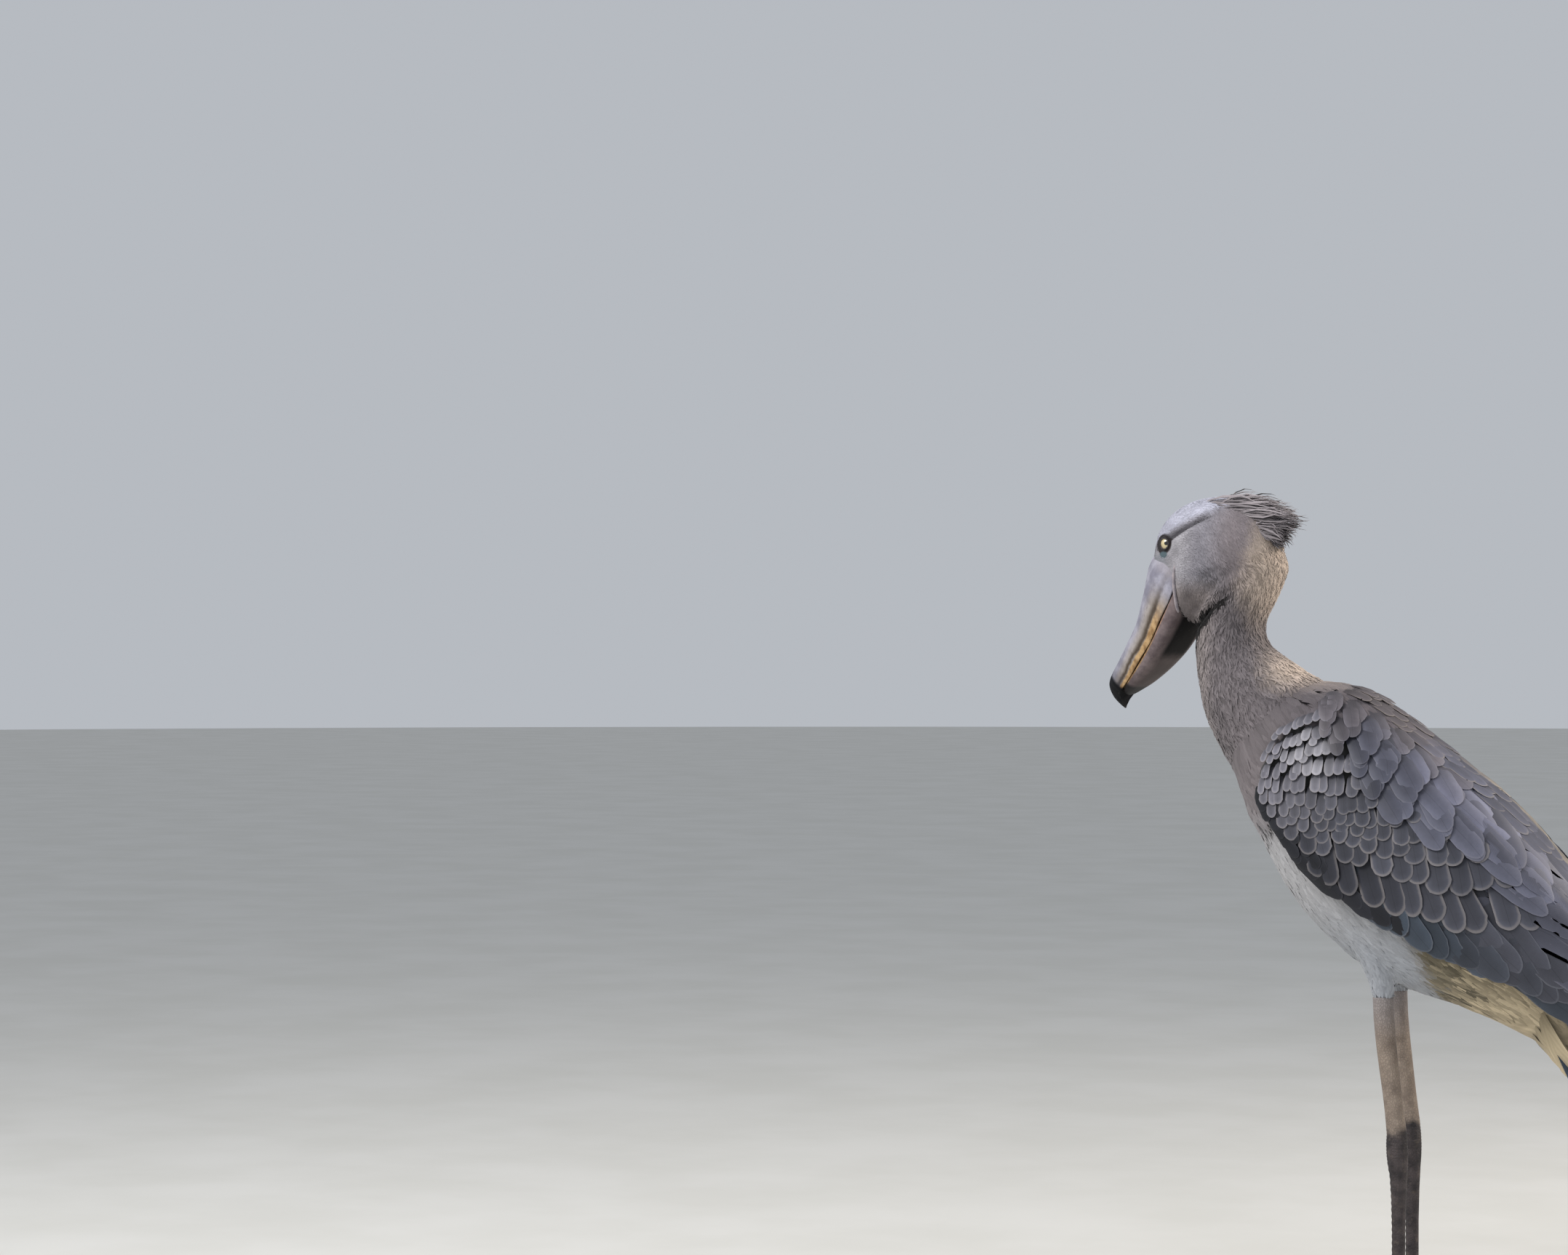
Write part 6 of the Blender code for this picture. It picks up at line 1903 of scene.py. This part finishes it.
@dataclass
class Bill:
    """The great shoe-shaped bill in two halves."""

    stance: Stance
    # Upper sections: distance along the bill, culmen, cutting edge and half width.
    upper: tuple = (
        (0.018, 0.02, -0.044, 0.039), (0.04, 0.024, -0.05, 0.044), (0.075, 0.0095, -0.055, 0.046), (0.115, -0.004,
        -0.057, 0.044), (0.15, -0.0065, -0.0535, 0.038), (0.18, -0.0065, -0.0475, 0.0296), (0.204, -0.006, -0.0415,
        0.0205), (0.2185, -0.0095, -0.0425, 0.0125), (0.2265, -0.0205, -0.0455, 0.006), (0.2292, -0.029, -0.048,
        0.003), (0.23, -0.037, -0.0492, 0.001),
    )
    # Lower sections: distance along the bill, underside and half width.
    lower: tuple = (
        (0.012, -0.066, 0.035), (0.04, -0.073, 0.0405), (0.08, -0.077, 0.043), (0.115, -0.076, 0.041), (0.15, -0.0695,
        0.0345), (0.18, -0.06, 0.0268), (0.2, -0.051, 0.0182), (0.2085, -0.047, 0.0115), (0.211, -0.045, 0.006),
    )
    # Outline over the upper bill: share of the half width and of the height, from the ridge down.
    ridge: tuple = (
        (0.0, 1.0), (0.07, 0.998), (0.13, 0.989), (0.2, 0.948), (0.28, 0.905), (0.42, 0.878), (0.62, 0.768), (0.82,
        0.59), (0.95, 0.41), (1.0, 0.24), (0.995, 0.12), (0.955, 0.0),
    )
    under: tuple = ((0.93, 0.0006), (0.84, 0.003), (0.55, 0.005), (0.25, 0.0055), (0.0, 0.0055))

    def _half(self, name: str, sections: list, marks: list, length: float) -> Piece:
        """One half of the bill with its map.

        Args:
            name: The piece's name.
            sections: How far along each section lies, and its left side from the top down.
            marks: How far round each point of a side lies, 0 to 1.
            length: How far along the map ends.

        Returns:
            The piece.
        """
        rings = [[self.stance.in_bill(forward, a, b) for a, b in side + [(-a, b) for a, b in side[1:-1][::-1]]]
                 for forward, side in sections]
        piece = from_rings(name, np.array(rings))
        corners = read(piece.data.loops, "vertex_index", 1, np.int32)[:, 0]
        marks = np.array(marks + marks[1:-1][::-1])
        ends = np.array([forward for forward, _ in sections]) / length
        uv = np.stack([marks[corners % len(marks)], ends[corners // len(marks)]], 1)
        write(piece.data.uv_layers.new(name="horn").data, "uv", uv)
        return piece

    def _upper(self) -> Piece:
        """Ridged culmen, vaulted sides, cutting edge and hooked nail."""
        outline = smooth_rows(self.ridge, 46)
        run = np.concatenate([[0], np.cumsum(np.linalg.norm(np.diff(outline * (1.0, 0.75), axis=0), axis=1))])
        sections = []
        for forward, culmen, edge, half in smooth_rows(self.upper, 150):
            grow = 0.00035 * math.sin(forward * 310.0) + 0.00025 * math.sin(forward * 730.0 + 1.0)
            wave = 0.0006 * math.sin(forward * 95.0)
            side = [(w * (half + grow), edge + wave * (1 - h) + (culmen - edge) * h) for w, h in outline]
            side += [(w * half, edge + wave + rise * half / 0.045) for w, rise in self.under]
            sections.append((forward, side))
        piece = self._half("bill_upper_horn", sections, [*(run / run[-1]), *[1.0] * len(self.under)], 0.2303)
        self._nostrils(piece)
        return piece

    def _nostrils(self, piece: Piece) -> None:
        """Presses a slit into each groove beside the ridge."""
        points = points_of(piece.data)
        forward, left, up = self.stance.bill_coordinates(points).T
        for side in (-1, 1):
            gap = ((forward - 0.06) / 0.011) ** 2 + ((left - side * 0.0145) / 0.0022) ** 2
            deep = np.exp(-gap) * 0.003 * (up > 0.0)
            points -= np.outer(deep, np.array(self.stance.up))
        put_points(piece.data, points)

    def _lower(self) -> Piece:
        """The lower half, whose upper face follows the palate."""
        tops = smooth_rows(self.upper, 160)
        under = smooth_rows(((1.0, 0.02), (1.0, 0.14), (0.97, 0.38), (0.86, 0.72), (0.55, 0.94), (0.25, 0.99),
                             (0.0, 1.0)), 26)
        inner = ((0.0, 0.0045), (0.25, 0.0045), (0.55, 0.004), (0.86, 0.0016), (0.97, 0.0002))
        sections = []
        for forward, floor, half in smooth_rows(self.lower, 120):
            top = np.interp(forward, tops[:, 0], tops[:, 2]) - 0.0006
            half = min(half, np.interp(forward, tops[:, 0], tops[:, 3]) * 0.925)
            side = [(w * half, top + rise * half / 0.045) for w, rise in inner]
            sections.append((forward, side + [(half * w, top - (top - floor) * d) for w, d in under]))
        return self._half("bill_lower_horn", sections, [0.0] * 5 + list(np.linspace(0, 1, 26)), 0.211)

    def build(self) -> None:
        """Makes both halves."""
        halves = [self._upper(), self._lower()]
        placed(halves[0], BillFinish("bill_upper_horn", True), "bill_horn", "bill_upper")
        placed(halves[1], BillFinish("bill_lower_horn", False), "bill_lower_horn", "bill_lower")
        graph = bpy.context.evaluated_depsgraph_get()
        self.trees = [BVHTree.FromObject(half, graph) for half in halves]


@dataclass
class Gape:
    """The pale fold of bare skin down the front of each cheek, from the bill's base to the gape."""

    stance: Stance
    # Fold on the left: distance along the bill, to the side, over its axis, and thickness.
    line: tuple = (
        (0.006, 0.0385, -0.032, 0.001), (0.01, 0.042, -0.035, 0.0016), (0.0175, 0.0448, -0.0405, 0.002), (0.0265,
        0.046, -0.0475, 0.0021), (0.0405, 0.0455, -0.0587, 0.0021), (0.052, 0.0425, -0.0675, 0.0021), (0.058, 0.039,
        -0.072, 0.0014),
    )

    def build(self) -> None:
        """Makes both folds as one piece."""
        made = []
        for side in (1, -1):
            path = smooth_rows(self.line, 40)
            spots = np.array([self.stance.in_bill(forward, side * y, up) for forward, y, up, _ in path])
            rings = []
            for k, (spot, thick) in enumerate(zip(spots, path[:, 3])):
                run = Vector(spots[min(k + 1, 39)] - spots[max(k - 1, 0)]).normalized()
                across = run.cross(self.stance.left).normalized()
                wave = 1.0 + 0.12 * math.sin(k * 0.9)
                rings.append(oval_ring(Vector(spot), across, run.cross(across), thick * wave, thick * 1.3, 12, 2.0))
            made.append(from_rings(f"gape_{len(made)}", np.array(rings)))
        finish = PlainFinish("gape_skin", paint(128, 122, 128), paint(158, 148, 150), 160.0, 0.8)
        placed(joined("gape_folds", made), finish, "bill_lower_horn")


# ------------ legs
@dataclass
class Leg:
    """The bare part of one leg with its foot and claws.

    Args:
        stance: The bird's stance.
        word: left or right.
        place: Where the leg stands, beside the feet's middle.
        side: -1 is the left leg.
    """

    stance: Stance
    word: str
    place: Pair
    side: int
    voxel: float = 0.0013
    claw_length: float = 0.026
    # Toes: name, angle from straight ahead towards the midline, length.
    toes: tuple = (("inner", 31.0, 0.126), ("middle", 0.0, 0.16), ("outer", -33.0, 0.138), ("hind", 172.0, 0.066))

    def build(self) -> None:
        """Makes the skin of leg and foot, then the claws."""
        nodes = [f"shank_{self.word}", f"tarsus_{self.word}"]
        nodes += [f"toe_{name}_{self.word}" for name, _, _ in self.toes]
        leg = joined(f"leg_{self.word}", flesh_of(nodes))
        applied(leg, "REMESH", mode="VOXEL", voxel_size=self.voxel)
        applied(leg, "SMOOTH", factor=0.5, iterations=7)
        self._knobs(leg)
        leg.data.shade_smooth()
        placed(leg, LegFinish("leg_scales", 0.24, 0.44), "leg_skin", *nodes)
        self._claws()

    def _knobs(self, leg: Piece) -> None:
        """Swells the joints and rings the front with low scutes."""
        points, normals = points_of(leg.data), normals_of(leg.data)
        x = points[:, 0] - self.stance.feet.x - self.place[0]
        z = points[:, 2]
        scutes = np.sin(z * 2 * math.pi / 0.0085) * 0.00028 * step(z, 0.03, 0.05) * step(z, 0.235, 0.215)
        scutes = scutes * step(x, 0.004, -0.004)
        off = np.hypot(x, points[:, 1] - self.place[1])
        pads = np.sin(off * 2 * math.pi / 0.0062) * 0.00022 * step(z, 0.02, 0.012)
        folds = np.sin(z * 2 * math.pi / 0.0042) * 0.00022 * step(np.abs(z - 0.246), 0.03, 0.014)
        points = points + normals * (scutes + pads * (z > 0.004) + folds)[:, None]
        points[:, 2] = np.maximum(points[:, 2], 0.0)
        put_points(leg.data, points)

    def _claws(self) -> None:
        """Four long claws as one piece."""
        made = []
        for name, angle, length in self.toes:
            heading = math.radians(180.0 + self.side * (angle - 15.0))
            ahead = Vector((math.cos(heading), math.sin(heading), 0.0))
            beside = Vector((-ahead.y, ahead.x, 0.0))
            root = self.stance.feet + Vector((*self.place, 0.0)) + ahead * (0.012 + length + 0.0003 - 0.003)
            rings = []
            for t in np.linspace(0, 1, 26):
                radius = 0.0034 * (1 - t) ** 0.8 + 0.0004
                z = 0.0046 * (1 - t**2.2) + 0.0009 + 0.0012 * math.sin(math.pi * t)
                centre = Vector((root.x, root.y, z)) + ahead * ((self.claw_length + 0.003) * t)
                rings.append(oval_ring(centre, Vector((0, 0, 1)), beside, radius, radius * 0.74, 16, 2.0))
            made.append(from_rings(f"claw_{name}_{self.word}_horn", np.array(rings)))
        finish = PlainFinish("claw_keratin", paint(46, 42, 42), paint(84, 76, 70), 240.0, 0.42)
        nodes = [f"claw_{name}_{self.word}" for name, _, _ in self.toes]
        placed(joined(f"claws_{self.word}", made), finish, "claw_horn", *nodes)


# ------------ studio
@dataclass
class Studio:
    """Camera, floor and soft light."""

    feet: Vector
    place: Vector = field(default_factory=lambda: Vector((1.873, -4.636, 0.911)))  # from between the feet
    turn: float = math.radians(31.19)
    lens: float = 87.38

    def _light(self, name: str, place: tuple, aim: tuple, size: float, watts: float, colour: Colour) -> None:
        """One square light."""
        data = bpy.data.lights.new(name, "AREA")
        data.shape = "SQUARE"
        data.size = size
        data.energy = watts
        data.color = colour
        lamp = new_piece(name, data)
        lamp.location = place
        way = Vector(aim) - Vector(place)
        lamp.rotation_euler = way.to_track_quat("-Z", "Y").to_euler()

    def build(self) -> None:
        """Sets everything up."""
        data = bpy.data.cameras.new("camera")
        data.lens = self.lens
        data.sensor_width = 36.0
        data.clip_end = 200.0
        camera = new_piece("camera", data)
        camera.location = self.feet + self.place
        camera.rotation_euler = (math.pi / 2, 0.0, self.turn)
        bpy.context.scene.camera = camera

        bpy.ops.object.select_all(action="DESELECT")
        bpy.ops.mesh.primitive_circle_add(vertices=96, radius=30.0, fill_type="NGON", location=(0, 0, 0))
        floor = bpy.context.active_object
        floor.name = "floor"
        finish = PlainFinish("floor", paint(206, 205, 200), paint(212, 211, 207), 3.0, 0.9, 0.0)
        floor.data.materials.append(finish.material())

        self._light("key", (-1.6, -1.9, 3.0), (-0.1, 0.0, 0.7), 1.6, 88.0, (1.0, 0.985, 0.96))
        self._light("fill", (2.6, -3.4, 1.6), (0.0, 0.0, 0.6), 2.6, 26.0, (0.94, 0.96, 1.0))
        self._light("back", (1.9, 1.7, 2.2), (-0.1, 0.0, 0.85), 1.0, 60.0, (1.0, 0.9, 0.78))
        world = bpy.data.worlds.new("studio")
        world.use_nodes = True
        shade = world.node_tree.nodes["Background"]
        shade.inputs["Color"].default_value = (0.76, 0.8, 0.86, 1.0)
        shade.inputs["Strength"].default_value = 0.62
        bpy.context.scene.world = world
        bpy.context.scene.view_settings.view_transform = "Standard"


def main() -> None:
    """Builds every part of the bird and its studio."""
    logging.basicConfig(level=logging.INFO, format="%(message)s")
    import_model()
    low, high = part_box("tarsus_left")
    stance = Stance(Vector(((low[0] + high[0]) / 2 - 0.0185, 0.0, 0.0)))
    draw = np.random.default_rng(SEED)
    Studio(stance.feet).build()
    hues, lie = Hues(stance), Lie(stance)
    eyes = [Eye(stance, side) for side in (1, -1)]
    skin = Skin(stance, hues)
    skin.build(eyes)
    for eye in eyes:
        eye.build()
    bill = Bill(stance)
    bill.build()
    Gape(stance).build()
    Plumage(stance, skin, hues, lie, eyes, bill.trees, draw).build()
    wings = [Wing(stance, side, draw) for side in (-1, 1)]
    for wing in wings:
        wing.build()
    Mantle(wings[0], draw).build()
    Tail(stance, draw).build()
    Crest(stance, draw).build()
    for word, place, side in (("left", (0.0185, -0.05), -1), ("right", (-0.003, 0.05), 1)):
        Leg(stance, word, place, side).build()


if __name__ == "__main__":
    main()
